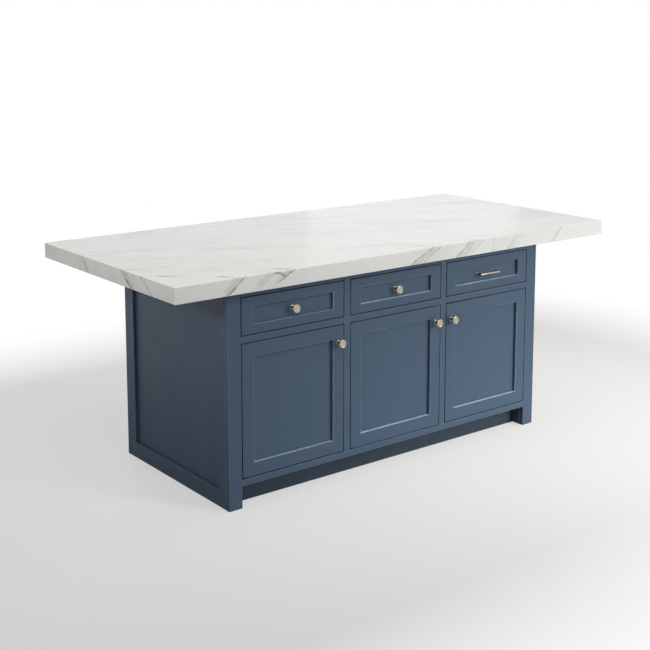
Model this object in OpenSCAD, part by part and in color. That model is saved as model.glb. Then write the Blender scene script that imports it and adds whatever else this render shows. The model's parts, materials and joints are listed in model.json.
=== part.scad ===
// Freestanding kitchen island: a framed cabinet of three bays, each a drawer over a door, all inset
// in a face frame, under a thick stone worktop that overhangs on all four sides. Millimetres.
// Origin on the floor under the middle of the worktop. +X to the right along the front, which faces
// -Y, and +Z up.

/* [Open positions] */
// How far the drawers are pulled out, and the angle at which the doors stand open
drawer_out = 0; // [0:10:500]
door_open = 0; // [0:5:95]

/* [Worktop] */
// Overall height, floor to the worktop's surface
unit_h = 914; // [880:1:960]
// Length of the worktop
top_l = 2320; // [2200:1:2600]
// Depth of the worktop, front to back
top_d = 1080; // [1000:1:1250]
// Height of the worktop's edge
top_t = 64; // [50:1:80]
// Thickness of the stone slab and of the aprons bonded under its edges
slab_t = 20; // [12:1:30]
// Radius of the eased arrises of the stone, and of its upright corners
arris_r = 3; // [2:0.5:6]
corner_r = 6; // [4:0.5:12]
// How far the worktop overhangs the front of the cabinet
over_front = 38; // [25:1:60]
// How far it overhangs the left end
over_left = 243; // [150:1:280]
// Width and thickness of the steel bars that carry the long overhang, and the stone left past their ends
bar_w = 50; // [40:1:80]
bar_t = 10; // [6:1:15]
bar_end = 80; // [40:1:150]

/* [Cabinet] */
// Width of the cabinet over its end panels
cab_w = 1668; // [1500:1:1740]
// Depth of the cabinet over its front and back frames
cab_d = 794; // [720:1:860]
// Thickness of every frame: face frame, end and back frames, doors and drawer fronts
frame_t = 22; // [20:0.5:28]
// Width of the two outer stiles of the face frame, which run down to the floor as feet
end_stile_w = 60; // [55:1:80]
// Width of the mullions between the bays
mullion_w = 30; // [28:1:50]
// Heights of the three rails of the face frame
top_rail_h = 22; // [20:1:40]
mid_rail_h = 27; // [20:1:45]
bottom_rail_h = 27; // [24:1:45]
// Height of the drawer openings
drawer_open_h = 152; // [145:1:190]
// Height of the toe space and how far its board is set back
kick_h = 88; // [70:1:110]
kick_d = 63; // [45:1:90]
// Thickness of the carcass boards, of the carcass backs and of the set-back kick board
board_t = 18; // [15:0.5:22]
back_t = 8; // [5:0.5:12]
kick_t = 18; // [12:0.5:22]
// Depth of the rails across the top of each carcass
stretcher_d = 80; // [60:1:120]
// Length of the stub tenons of the face frame
tenon_l = 14; // [8:1:20]
// Radius of the bolts that join neighbouring carcasses, and their clearance
bolt_r = 4; // [3:0.5:5]
bolt_clear = 0.25; // [0.1:0.05:0.5]
// Distance of the bolts from the front and back edges and from the ends of the door opening
bolt_inset = 38; // [25:1:60]
bolt_up = 110; // [60:5:160]

/* [Framed fronts and panels] */
// Gap round each inset door and drawer front
reveal = 3; // [2.5:0.1:4]
// Width of the stiles and rails of the doors
door_stile_w = 54; // [50:1:80]
door_rail_h = 55; // [45:1:80]
// Width of the rails of the drawer fronts
drawer_rail_h = 38; // [30:1:45]
// Widths of the stiles and rails of the end and back panels, seen from outside
end_panel_stile_w = 68; // [55:1:90]
end_panel_rail_h = 67; // [50:1:100]
// How deep the flat panels lie behind their frames, and their thickness
recess = 13; // [8:0.5:14]
panel_t = 6; // [4:0.5:8]
// Depth of the grooves that hold them, and the play left at the bottom of each groove
groove_d = 10; // [7:0.5:12]
groove_play = 1; // [0.5:0.5:2]

/* [Drawers] */
// Height, length and wall of the drawer boxes
box_h = 112; // [95:1:120]
box_l = 550; // [450:1:620]
box_wall = 15; // [12:0.5:18]
// Height of the box above the rail under it
box_lift = 14; // [8:1:20]
// Thickness of the drawer bottom and its height above the lower edge of the box
bottom_t = 6; // [4:0.5:8]
bottom_lift = 11; // [8:0.5:16]
// Dovetails at each corner, and how much wider each tail is at its tip
tails = 3; // [2:1:5]
tail_flare = 6; // [3:0.5:8]
// Width and height of the telescopic runners, and the sheet they are rolled from
runner_w = 13; // [12.5:0.1:16]
runner_h = 45; // [38:1:50]
runner_sheet = 1.5; // [1:0.1:2]
// Running gap between the runner's members, and the outer bend radius of the fixed one
runner_gap = 0.4; // [0.3:0.1:0.7]
runner_bend = 4.5; // [4:0.1:6]

/* [Doors] */
// Opening angle that the hinge arms are cranked for
door_swing = 95; // [85:1:95]
// Distance of the hinges from the ends of the door
hinge_inset = 90; // [75:1:130]
// Radius and depth of the hinge cup's bore, and the wood left between it and the door's edge
cup_r = 17.5; // [17:0.5:18]
cup_depth = 15.5; // [15:0.1:16]
cup_edge = 7; // [6.5:0.1:8]
// Clearance of the cup in its bore, wall of the pressed cup, and depth of the pin behind the door's face
cup_clear = 0.1; // [0.05:0.05:0.3]
cup_wall = 0.8; // [0.7:0.1:1]
pin_back = 11; // [10.5:0.1:11.2]
// Radius of the pin, and its clearance in the arm's eye
pin_r = 1.5; // [1.2:0.1:1.8]
pin_clear = 0.05; // [0.02:0.01:0.08]
// Thickness and width of the cranked hinge arm
arm_t = 2.4; // [2:0.1:2.8]
arm_w = 9; // [7:0.5:10]

/* [Knobs and pull] */
// Radius of the knob's head, of its foot and of its neck
knob_r = 17; // [14:0.5:20]
knob_foot_r = 10; // [8:0.5:12]
knob_neck_r = 5.5; // [4.5:0.5:7]
// How far the knobs stand out, and the thickness of the head
knob_out = 32; // [25:0.5:38]
knob_head_t = 9; // [6:0.5:12]
// Distance of the door knobs from the door's edge and from its top
knob_edge = 28; // [24:1:40]
knob_drop = 69; // [50:1:120]
// Length of the bar pull, distance between its posts, and its radius
pull_l = 113; // [105:1:180]
pull_pitch = 102; // [90:1:104]
pull_r = 5; // [4:0.5:7]
// How far the middle of the bar stands out
pull_out = 30; // [25:0.5:35]
// Radius of the fixing screws
screw_r = 2; // [1.5:0.1:2.5]

/* [Shelves] */
// Height of the shelf above the floor of the cupboard
shelf_up = 255; // [200:1:300]
// How far the shelf is set back behind the face frame
shelf_back = 90; // [70:1:200]
// Clearance at each end of the shelf
shelf_play = 1.5; // [1:0.5:3]
// Distance of the pegs from the shelf's front and back edges
peg_inset = 45; // [30:1:90]
// Radius of the shelf pegs, their clearance, their spacing in the rows of holes, and holes in each row
peg_r = 2.5; // [2:0.5:3]
peg_clear = 0.1; // [0.05:0.05:0.2]
peg_pitch = 32; // [25:1:40]
peg_holes = 5; // [3:2:7]

/* [Hidden] */
$fn = 48;
eps = 0.01;
bays = 3;
left = 0;
middle = 1;
right = 2;

cab_h = unit_h - top_t;                       // top of the cabinet, where the worktop lies
cab_x = -top_l / 2 + over_left;               // the cabinet's left end
cab_y = -top_d / 2 + over_front;              // the cabinet's front face
side_t = mullion_w / 2;                       // two carcass sides lie behind each mullion
bay_w = (cab_w - 2 * end_stile_w - (bays - 1) * mullion_w) / bays;
bay_pitch = bay_w + mullion_w;
drawer_z1 = cab_h - top_rail_h;               // the drawer openings, top and bottom
drawer_z0 = drawer_z1 - drawer_open_h;
door_z1 = drawer_z0 - mid_rail_h;             // the door openings, top and bottom
door_z0 = kick_h + bottom_rail_h;
carcass_d = cab_d - frame_t;                  // back of the carcasses
floor_z = door_z0 - board_t;                  // underside of the cupboard floors
rebate = side_t / 2;                          // the carcass backs lie in rebates this deep

front_w = bay_w - 2 * reveal;                 // a door or drawer front
door_h = door_z1 - door_z0 - 2 * reveal;
drawer_h = drawer_open_h - 2 * reveal;

box_w = bay_w - 2 * runner_w;
box_z = drawer_z0 + box_lift;
box_groove = box_wall / 2;                    // depth of the groove for the drawer bottom
runner_z = box_z + box_h / 2;
runner_l = box_l - 4;
runner_y = frame_t + 4;

pin_x = reveal + cup_edge + cup_r;            // the hinge axis, from the edge of the opening
eye_r = pin_r + 1.4;
turn_r = norm([pin_x - reveal, frame_t - pin_back]);        // the door's corner turns at this radius
neck_x = cup_r - 1.5;                         // the arm's crank, measured from the hinge axis: its neck
neck_y = neck_x * tan((180 - door_swing) / 2);              // leaves the cup midway between shut and open
crank_y = turn_r + arm_t / 2 + 1.1;
seat_t = 10;                                  // thickness of the arm's body on its plate
plate_t = 2;
plate_l = 44;
plate_h = 48;

shelf_z = door_z0 + shelf_up;
peg_y = [frame_t + shelf_back + peg_inset, carcass_d - back_t - peg_inset];
tongue_l = 9;

wood_blue = [0.24, 0.32, 0.41];
inside_white = [0.90, 0.89, 0.86];
birch = [0.84, 0.72, 0.54];
stone_white = [0.90, 0.90, 0.88];
brass_gold = [0.78, 0.66, 0.44];
steel_grey = [0.70, 0.71, 0.72];

// ---- places ----

// The cabinet's own corner: left end, front face, floor
module at_cabinet() translate([cab_x, cab_y, 0]) children();

// Left edge of a bay's opening
function bay_x(bay) = end_stile_w + bay * bay_pitch;

// The lower left corner of a bay's drawer front or door
module at_drawer_front(bay) at_cabinet() translate([bay_x(bay) + reveal, 0, drawer_z0 + reveal]) children();
module at_door(bay) at_cabinet() translate([bay_x(bay) + reveal, 0, door_z0 + reveal]) children();

// The opening of a bay, from its hinge side: the right bay's door hangs on the right
module from_hinge_side(bay) at_cabinet()
    if (bay == right) translate([bay_x(bay) + bay_w, 0, 0]) mirror([1, 0, 0]) children();
    else translate([bay_x(bay), 0, 0]) children();

// What moves with a bay's door, at its opening angle, and what moves with the drawers
module swung(bay) {
    axis = [cab_x + bay_x(bay) + (bay == right ? bay_w - pin_x : pin_x), cab_y + pin_back, 0];
    translate(axis) rotate([0, 0, bay == right ? door_open : -door_open]) translate(-axis) children();
}
module pulled(share = 1) translate([0, -share * drawer_out, 0]) children();

// Heights of a door's two hinges
hinge_zs = [door_z0 + reveal + hinge_inset, door_z1 - reveal - hinge_inset];

// ---- framed fronts: two stiles, two rails and a flat panel in their grooves ----

// The groove along one edge of a stile or rail, as a slot to cut: from the edge inwards
module groove(length) translate([-groove_d, recess, -eps]) cube([groove_d + eps, panel_t, length + 2 * eps]);

module outer_stile(width, height) difference() {
    cube([width, frame_t, height]);
    translate([width, 0, 0]) groove(height);
}

// A rail with a tongue at each end that fills the stiles' grooves beside the panel's corner.
// Its groove is in its upper edge.
module rail(length, height) {
    difference() {
        cube([length, frame_t, height]);
        translate([-eps, recess, height - groove_d]) cube([length + 2 * eps, panel_t, groove_d + eps]);
    }
    for (x = [-groove_d, length])
        translate([x, recess, 0]) cube([groove_d, panel_t, height - groove_d]);
}

// A stile between two panels, held by tongues in the grooves of both rails
module inner_stile(width, height) {
    difference() {
        cube([width, frame_t, height]);
        translate([width, 0, 0]) groove(height);
        mirror([1, 0, 0]) groove(height);
    }
    for (z = [-groove_d, height])
        translate([groove_d, recess, z]) cube([width - 2 * groove_d, panel_t, groove_d]);
}

// The frame: face at y = 0, w by h, left and right stile widths, rail height, and panels side by side
module panel_frame(w, h, left_w, right_w, rail_h, panels = 1, inner_w = 0) {
    outer_stile(left_w, h);
    translate([w, 0, 0]) mirror([1, 0, 0]) outer_stile(right_w, h);
    translate([left_w, 0, 0]) rail(w - left_w - right_w, rail_h);
    translate([left_w, 0, h]) mirror([0, 0, 1]) rail(w - left_w - right_w, rail_h);
    clear_w = panel_clear_w(w, left_w, right_w, panels, inner_w);
    if (panels > 1) for (k = [1 : panels - 1])
        translate([left_w + k * clear_w + (k - 1) * inner_w, 0, rail_h]) inner_stile(inner_w, h - 2 * rail_h);
}

function panel_clear_w(w, left_w, right_w, panels, inner_w) =
    (w - left_w - right_w - (panels - 1) * inner_w) / panels;

// The panels of such a frame, let into the grooves on every edge
module flat_panels(w, h, left_w, right_w, rail_h, panels = 1, inner_w = 0) {
    clear_w = panel_clear_w(w, left_w, right_w, panels, inner_w);
    let_in = groove_d - groove_play;
    for (k = [0 : panels - 1])
        translate([left_w + k * (clear_w + inner_w) - let_in, recess, rail_h - let_in])
            cube([clear_w + 2 * let_in, panel_t, h - 2 * rail_h + 2 * let_in]);
}

// ---- worktop ----

// A rectangle with round corners, from circles and squares
module round_rect(size, r) {
    translate([r, 0]) square([size.x - 2 * r, size.y]);
    translate([0, r]) square([size.x, size.y - 2 * r]);
    for (x = [r, size.x - r], y = [r, size.y - r]) translate([x, y]) circle(r);
}

// A slab with eased arrises all round and rounded upright corners: the block common to its plan and
// its two elevations
module eased_slab(size) intersection() {
    linear_extrude(size.z) round_rect([size.x, size.y], corner_r);
    rotate([90, 0, 90]) linear_extrude(size.x) round_rect([size.y, size.z], arris_r);
    translate([0, size.y, 0]) rotate([90, 0, 0]) linear_extrude(size.y) round_rect([size.x, size.z], arris_r);
}

// Stone slab with aprons bonded under its four edges, open below
module worktop() color(stone_white) translate([-top_l / 2, -top_d / 2, cab_h]) difference() {
    eased_slab([top_l, top_d, top_t]);
    translate([slab_t, slab_t, -eps])
        cube([top_l - 2 * slab_t, top_d - 2 * slab_t, top_t - slab_t + eps]);
}

// Left end and length of the steel bars, and their places across the depth
bar_x0 = cab_x + bay_x(bays - 1) - mullion_w;
bar_l = top_l / 2 - bar_end - bar_x0;
bar_ys = [for (share = [0.2, 0.5, 0.8]) cab_y + share * cab_d - bar_w / 2];

module overhang_bars() color(steel_grey)
    for (y = bar_ys) translate([bar_x0, y, cab_h]) cube([bar_l, bar_w, bar_t]);

// Plywood that fills the stone from below and lies on the cabinet
module worktop_substrate() color(birch) difference() {
    translate([-top_l / 2 + slab_t, -top_d / 2 + slab_t, cab_h])
        cube([top_l - 2 * slab_t, top_d - 2 * slab_t, top_t - slab_t]);
    for (y = bar_ys) translate([bar_x0, y, cab_h - eps]) cube([bar_l, bar_w, bar_t + eps]);
}

// ---- face frame ----

tenon_t = frame_t / 3;                        // tenons take the middle third of the frame

// Tenon that stands out of a rail's end towards +X, and the mortise that takes it
module tenon(height) translate([-eps, tenon_t, height / 6]) cube([tenon_l + eps, tenon_t, height * 2 / 3]);

// An outer stile with its mortises, its inner edge at x = 0
module face_stile() difference() {
    translate([-end_stile_w, 0, 0]) cube([end_stile_w, frame_t, cab_h]);
    for (r = rails_at_stile) translate([0, 0, r[0]]) mirror([1, 0, 0]) tenon(r[1]);
}

// Height above the floor and height of each rail that meets the stiles
rails_at_stile = [[kick_h, bottom_rail_h], [door_z1, mid_rail_h], [drawer_z1, top_rail_h]];

module face_stile_left() color(wood_blue) at_cabinet() translate([end_stile_w, 0, 0]) face_stile();
module face_stile_right() color(wood_blue) at_cabinet()
    translate([cab_w - end_stile_w, 0, 0]) mirror([1, 0, 0]) face_stile();

// A rail of the face frame with a tenon at both ends
module face_rail(length, height) {
    cube([length, frame_t, height]);
    translate([length, 0, 0]) tenon(height);
    mirror([1, 0, 0]) tenon(height);
}

// The mullions' tenons stand up and down in the middle of the long rails' thickness
mullion_tenon_l = min(tenon_l, top_rail_h / 2, bottom_rail_h / 2);

module mullion_tenons() for (k = [1 : bays - 1], end = [0, 1])
    translate([bay_x(k) - mullion_w * 5 / 6, tenon_t,
        end == 0 ? door_z0 - mullion_tenon_l : drawer_z1 - eps])
        cube([mullion_w * 2 / 3, tenon_t, mullion_tenon_l + eps]);

module long_rail(z, height) color(wood_blue) at_cabinet() difference() {
    translate([end_stile_w, 0, z]) face_rail(cab_w - 2 * end_stile_w, height);
    mullion_tenons();
}

module face_rail_top() long_rail(drawer_z1, top_rail_h);
module face_rail_bottom() long_rail(kick_h, bottom_rail_h);

module face_mullions() color(wood_blue) at_cabinet() {
    for (k = [1 : bays - 1]) difference() {
        translate([bay_x(k) - mullion_w, 0, door_z0]) cube([mullion_w, frame_t, drawer_z1 - door_z0]);
        for (x = [bay_x(k) - mullion_w, bay_x(k)]) translate([x, 0, door_z1])
            mid_rail_mortise(x == bay_x(k) ? 1 : 0);
    }
    mullion_tenons();
}

// The short rails meet inside a mullion, so their tenons are shorter than half of it
mid_tenon_l = min(tenon_l, mullion_w / 2 - 2);

module mid_rail_tenon() translate([-eps, tenon_t, mid_rail_h / 6])
    cube([mid_tenon_l + eps, tenon_t, mid_rail_h * 2 / 3]);
module mid_rail_mortise(side) mirror([side, 0, 0]) mid_rail_tenon();

module face_mid_rails() color(wood_blue) at_cabinet() for (bay = [0 : bays - 1])
    translate([bay_x(bay), 0, door_z1]) {
        cube([bay_w, frame_t, mid_rail_h]);
        translate([bay_w, 0, 0]) mid_rail_end(bay == bays - 1);
        mirror([1, 0, 0]) mid_rail_end(bay == 0);
    }
module mid_rail_end(at_stile) if (at_stile) tenon(mid_rail_h); else mid_rail_tenon();

// ---- end and back panels ----

end_w = cab_d - frame_t;                      // an end panel runs from behind the face frame to the back
end_front_stile_w = end_panel_stile_w - frame_t;
back_w = cab_w - 2 * frame_t;                 // the back frame lies between the end panels
back_stile_w = end_panel_stile_w - frame_t;

module at_left_end() at_cabinet() translate([0, cab_d, 0]) rotate([0, 0, -90]) children();
module at_right_end() at_cabinet() translate([cab_w, frame_t, 0]) rotate([0, 0, 90]) children();
module at_back() at_cabinet() translate([cab_w - frame_t, cab_d, 0]) rotate([0, 0, 180]) children();

module end_frame_left() color(wood_blue) at_left_end()
    panel_frame(end_w, cab_h, end_panel_stile_w, end_front_stile_w, end_panel_rail_h);
module end_frame_right() color(wood_blue) at_right_end()
    panel_frame(end_w, cab_h, end_front_stile_w, end_panel_stile_w, end_panel_rail_h);
module end_panels() color(wood_blue) {
    at_left_end() flat_panels(end_w, cab_h, end_panel_stile_w, end_front_stile_w, end_panel_rail_h);
    at_right_end() flat_panels(end_w, cab_h, end_front_stile_w, end_panel_stile_w, end_panel_rail_h);
}
module back_frame() color(wood_blue) at_back()
    panel_frame(back_w, cab_h, back_stile_w, back_stile_w, end_panel_rail_h, bays, end_panel_stile_w);
module back_panels() color(wood_blue) at_back()
    flat_panels(back_w, cab_h, back_stile_w, back_stile_w, end_panel_rail_h, bays, end_panel_stile_w);

// ---- carcasses ----

bolt_ys = [frame_t + bolt_inset + plate_l, carcass_d - back_t - bolt_inset];
bolt_zs = [door_z0 + bolt_up, door_z1 - bolt_up / 2];

// A carcass side, its inner face at x = 0 and its thickness towards -X: notched for the toe space,
// rebated for the back, with rows of blind holes for the shelf pegs
module carcass_side(bolted) difference() {
    translate([-side_t, 0, 0]) rotate([90, 0, 90]) linear_extrude(side_t) polygon([
        [frame_t, floor_z], [kick_d + kick_t, floor_z], [kick_d + kick_t, 0],
        [carcass_d, 0], [carcass_d, cab_h], [frame_t, cab_h]]);
    translate([-rebate, carcass_d - back_t, floor_z]) cube([rebate + eps, back_t + eps, cab_h]);
    for (y = peg_y, k = [0 : peg_holes - 1])
        translate([-tongue_l + 1, y, shelf_z - peg_r + (k - (peg_holes - 1) / 2) * peg_pitch])
            rotate([0, 90, 0]) cylinder(r = peg_r + peg_clear, h = tongue_l);
    if (bolted) for (y = bolt_ys, z = bolt_zs)
        translate([-side_t - eps, y, z]) rotate([0, 90, 0])
            cylinder(r = bolt_r + bolt_clear, h = side_t + 2 * eps);
}

module carcass_left_sides() color(inside_white) at_cabinet() for (bay = [0 : bays - 1])
    translate([bay_x(bay), 0, 0]) carcass_side(bay > 0);
module carcass_right_sides() color(inside_white) at_cabinet() for (bay = [0 : bays - 1])
    translate([bay_x(bay) + bay_w, 0, 0]) mirror([1, 0, 0]) carcass_side(bay < bays - 1);

module carcass_floors() color(inside_white) at_cabinet() for (bay = [0 : bays - 1])
    translate([bay_x(bay), frame_t, floor_z]) cube([bay_w, carcass_d - frame_t - back_t, board_t]);

module carcass_stretchers() color(inside_white) at_cabinet()
    for (bay = [0 : bays - 1], y = [frame_t, carcass_d - back_t - stretcher_d])
        translate([bay_x(bay), y, cab_h - board_t]) cube([bay_w, stretcher_d, board_t]);

module carcass_backs() color(inside_white) at_cabinet() for (bay = [0 : bays - 1])
    translate([bay_x(bay) - rebate, carcass_d - back_t, floor_z])
        cube([bay_w + 2 * rebate, back_t, cab_h - floor_z]);

// Bolts that draw neighbouring carcasses together: a shank through both sides and a cap at each end
module carcass_bolts() color(steel_grey) at_cabinet() for (k = [1 : bays - 1], y = bolt_ys, z = bolt_zs)
    translate([bay_x(k) - mullion_w, y, z]) rotate([0, 90, 0]) {
        cylinder(r = bolt_r, h = mullion_w);
        for (end = [0, 1]) translate([0, 0, end * mullion_w]) mirror([0, 0, 1 - end])
            cylinder(r1 = bolt_r * 1.9, r2 = bolt_r * 1.6, h = 1.4);
    }

module shelves() color(inside_white) at_cabinet() for (bay = [0 : bays - 1])
    translate([bay_x(bay) + shelf_play, frame_t + shelf_back, shelf_z])
        cube([bay_w - 2 * shelf_play, carcass_d - back_t - frame_t - shelf_back - shelf_play, board_t]);

// A peg in the side and a flat tongue under the shelf
module shelf_peg() {
    translate([-tongue_l + 2, 0, -peg_r]) rotate([0, 90, 0]) cylinder(r = peg_r, h = tongue_l - 2);
    translate([0, -peg_r - 1, -2]) cube([tongue_l, 2 * peg_r + 2, 2]);
    translate([0, 0, -peg_r]) rotate([0, 90, 0]) cylinder(r = peg_r, h = 1.2);
}

module shelf_pegs() color(steel_grey) at_cabinet() for (bay = [0 : bays - 1], y = peg_y) {
    translate([bay_x(bay), y, shelf_z]) shelf_peg();
    translate([bay_x(bay) + bay_w, y, shelf_z]) mirror([1, 0, 0]) shelf_peg();
}

module toe_kick() color(wood_blue) at_cabinet()
    translate([end_stile_w, kick_d, 0]) cube([cab_w - 2 * end_stile_w, kick_t, floor_z]);

// Boards that carry the inner face of each foot back to the toe kick
module foot_return() translate([-side_t, frame_t, 0]) cube([side_t, kick_d + kick_t - frame_t, floor_z]);
module foot_returns() color(wood_blue) at_cabinet() {
    translate([end_stile_w, 0, 0]) foot_return();
    translate([cab_w - end_stile_w, 0, 0]) mirror([1, 0, 0]) foot_return();
}

// Battens between the end panels and the carcass sides
packer_t = end_stile_w - side_t - frame_t;
packer_w = 50;
module end_packer(y) translate([frame_t, y, 0]) cube([packer_t, packer_w, cab_h]);
module end_packers() color(birch) at_cabinet() for (y = [frame_t, carcass_d - packer_w]) {
    end_packer(y);
    translate([cab_w, 0, 0]) mirror([1, 0, 0]) end_packer(y);
}

// ---- drawers ----

module front_screw_hole(x, y0, y1, z) translate([x, y0, z]) rotate([-90, 0, 0])
    cylinder(r = screw_r + 0.2, h = y1 - y0);

// Places of the screws through a drawer front, from its left edge
function fixing_xs(bay) = bay == right ? [front_w / 2 - pull_pitch / 2, front_w / 2 + pull_pitch / 2]
    : [front_w / 2];

module drawer_front_frame(bay) color(wood_blue) pulled() at_drawer_front(bay)
    panel_frame(front_w, drawer_h, door_stile_w, door_stile_w, drawer_rail_h);

module drawer_front_panel(bay) color(wood_blue) pulled() at_drawer_front(bay) difference() {
    flat_panels(front_w, drawer_h, door_stile_w, door_stile_w, drawer_rail_h);
    for (x = fixing_xs(bay)) front_screw_hole(x, 0, frame_t, drawer_h / 2);
}

// Outlines of the dovetails at a box corner: z along the box's height, y into the end board
tail_pitch = box_h / tails;
tail_w = tail_pitch * 0.45;
module tail_row(depth) for (k = [0 : tails - 1]) translate([0, (k + 0.5) * tail_pitch])
    polygon([[0, -tail_w / 2], [depth, -tail_w / 2 - tail_flare / 2],
        [depth, tail_w / 2 + tail_flare / 2], [0, tail_w / 2]]);

// All the tails of one side, standing out of both its ends
module side_tails() rotate([90, 0, 90]) linear_extrude(box_wall) {
    translate([box_l - box_wall, 0]) tail_row(box_wall);
    translate([box_wall, 0]) mirror([1, 0]) tail_row(box_wall);
}

module box_side() {
    translate([0, box_wall, 0]) cube([box_wall, box_l - 2 * box_wall, box_h]);
    side_tails();
}

// An end board, with sockets that take the tails of both sides
module box_end() difference() {
    cube([box_w, box_wall, box_h]);
    side_tails();
    translate([box_w, 0, 0]) mirror([1, 0, 0]) side_tails();
}

module at_box(bay) at_cabinet() translate([bay_x(bay) + runner_w, frame_t, box_z]) children();

// The space of the drawer bottom, let into all four boards
module bottom_board(play) translate([box_wall - box_groove + play, box_wall - box_groove + play, bottom_lift])
    cube([box_w - 2 * (box_wall - box_groove + play), box_l - 2 * (box_wall - box_groove + play), bottom_t]);

// Sides and ends of a drawer box, dovetailed together, grooved for the bottom
module drawer_box(bay) color(birch) pulled() at_box(bay) difference() {
    union() {
        box_side();
        translate([box_w, 0, 0]) mirror([1, 0, 0]) box_side();
        box_end();
        translate([0, box_l, 0]) mirror([0, 1, 0]) box_end();
    }
    bottom_board(0);
    for (x = fixing_xs(bay)) front_screw_hole(x + reveal - runner_w, -eps, box_wall + eps,
        drawer_h / 2 + reveal - box_lift);
}

module drawer_bottom(bay) color(birch) pulled() at_box(bay) bottom_board(groove_play / 2);

// ---- telescopic runners: three rolled channels, one inside the other ----

// Section of a channel open towards +X, its back on x = 0, with bends of outer radius r and lips
// turned in at the open side
module channel_section(width, height, r) translate([0, -height / 2]) difference() {
    round_rect([width + r, height], r);
    translate([runner_sheet, runner_sheet])
        round_rect([width + r, height - 2 * runner_sheet], max(r - runner_sheet, 0.5));
    translate([width, -eps]) square([2 * r, height + 2 * eps]);
}

module channel(width, height, length, r, holes = 0) rotate([90, 0, 0]) mirror([0, 0, 1]) difference() {
    linear_extrude(length) channel_section(width, height, r);
    if (holes > 0) for (k = [0 : holes - 1])
        translate([-eps, 0, length * (k + 0.5) / holes]) rotate([0, 90, 0])
            cylinder(r = 2.6, h = runner_sheet + 2 * eps);
}

member_step = 2 * (runner_sheet + runner_gap);        // each member is this much lower than the last
member_bend = runner_bend - runner_sheet - runner_gap;
rail_w = runner_w - runner_sheet - 2;                 // depth of the fixed channel's flanges
middle_x = runner_sheet + runner_gap;
inner_x = 2 * middle_x;

// Both runners of a bay: the children are the left one, and the right one is their mirror image
module runner_pair(bay) at_cabinet() translate([bay_x(bay), runner_y, runner_z]) {
    children();
    translate([bay_w, 0, 0]) mirror([1, 0, 0]) children();
}

module runner_rails() color(steel_grey) for (bay = [0 : bays - 1])
    runner_pair(bay) channel(rail_w, runner_h, runner_l, runner_bend);

// The middle member is pierced to save weight
module runner_middles(bay) color(steel_grey) pulled(0.5) runner_pair(bay)
    translate([middle_x, 0, 0])
        channel(rail_w - runner_gap, runner_h - member_step, runner_l, member_bend, 6);

module drawer_slides(bay) color(steel_grey) pulled() runner_pair(bay)
    translate([runner_w, 0, 0]) mirror([1, 0, 0])
        channel(runner_w - inner_x, runner_h - 2 * member_step, runner_l, member_bend);

// ---- doors and their concealed hinges ----

module at_hinge(bay, z) from_hinge_side(bay) translate([pin_x, pin_back, z]) children();

module cup_bores(bay) for (z = hinge_zs) at_hinge(bay, z)
    translate([0, frame_t - pin_back + eps, 0]) rotate([90, 0, 0]) cylinder(r = cup_r, h = cup_depth + eps);

// Middle of the door's knob, from the door's lower left corner
function knob_x(bay) = bay == right ? knob_edge : front_w - knob_edge;
knob_z = door_h - knob_drop;

module door_frame(bay) color(wood_blue) swung(bay) difference() {
    at_door(bay) panel_frame(front_w, door_h, door_stile_w, door_stile_w, door_rail_h);
    cup_bores(bay);
    at_door(bay) front_screw_hole(knob_x(bay), -eps, frame_t + eps, knob_z);
}

module door_panel(bay) color(wood_blue) swung(bay) at_door(bay)
    flat_panels(front_w, door_h, door_stile_w, door_stile_w, door_rail_h);

// The pressed cup with its winged flange on the back of the door, and the pin across it
flange_t = 1;
wing_r = 7;
wing_z = 24;
cup_in_r = cup_r - cup_clear - cup_wall;
module hinge_cup() {
    back = frame_t - pin_back;
    translate([0, back, 0]) rotate([90, 0, 0]) difference() {
        union() {
            cylinder(r = cup_r - cup_clear, h = cup_depth);
            translate([0, 0, -flange_t]) linear_extrude(flange_t) {
                circle(cup_r + 1.5);
                for (z = [-wing_z, wing_z]) translate([0, z]) circle(wing_r);
                square([2 * wing_r, 2 * wing_z], center = true);
            }
        }
        translate([0, 0, -flange_t - eps]) cylinder(r = cup_in_r, h = cup_depth - cup_wall + flange_t);
    }
    translate([0, 0, -cup_in_r]) cylinder(r = pin_r, h = 2 * cup_in_r);
    for (z = [-wing_z, wing_z]) translate([0, back + flange_t, z]) rotate([-90, 0, 0]) pan_head();
}

// Round head of a small wood screw, with the recess for its driver
module pan_head() difference() {
    union() {
        cylinder(r = 4, h = 1);
        translate([0, 0, 1]) cylinder(r1 = 4, r2 = 2.8, h = 1);
    }
    for (turn = [0, 90]) rotate(turn) translate([-2, -0.4, 1]) cube([4, 0.8, 1 + eps]);
}

module door_hinge_cups(bay) color(steel_grey) swung(bay) for (z = hinge_zs) at_hinge(bay, z) hinge_cup();

// One straight length of the arm from a to b, with round ends
module arm_length(a, b) {
    run = b - a;
    translate(a) rotate(atan2(run.y, run.x)) translate([0, -arm_t / 2]) square([norm(run), arm_t]);
    for (p = [a, b]) translate(p) circle(arm_t / 2);
}

// The cranked arm: an eye on the pin, a neck out through the cup's mouth, a return round the door's
// corner, and a boxed body with its two adjusting screws
module hinge_arm() {
    seat_x = seat_t + plate_t - pin_x;
    difference() {
        translate([0, 0, -arm_w / 2]) linear_extrude(arm_w) {
            circle(eye_r);
            arm_length([0, 0], [neck_x, neck_y]);
            arm_length([neck_x, neck_y], [neck_x, crank_y]);
            arm_length([neck_x, crank_y], [seat_x - 2, crank_y]);
        }
        translate([0, 0, -arm_w]) cylinder(r = pin_r + pin_clear, h = 2 * arm_w);
    }
    translate([plate_t - pin_x, crank_y - arm_t / 2, 0]) {
        linear_extrude(arm_w + 3, center = true)
            polygon([[0, 0], [seat_t, 0], [seat_t, plate_l - 8], [seat_t - 4, plate_l], [0, plate_l]]);
        for (y = [plate_l * 0.32, plate_l * 0.68]) translate([seat_t, y, 0]) rotate([0, 90, 0]) pan_head();
    }
}

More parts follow.
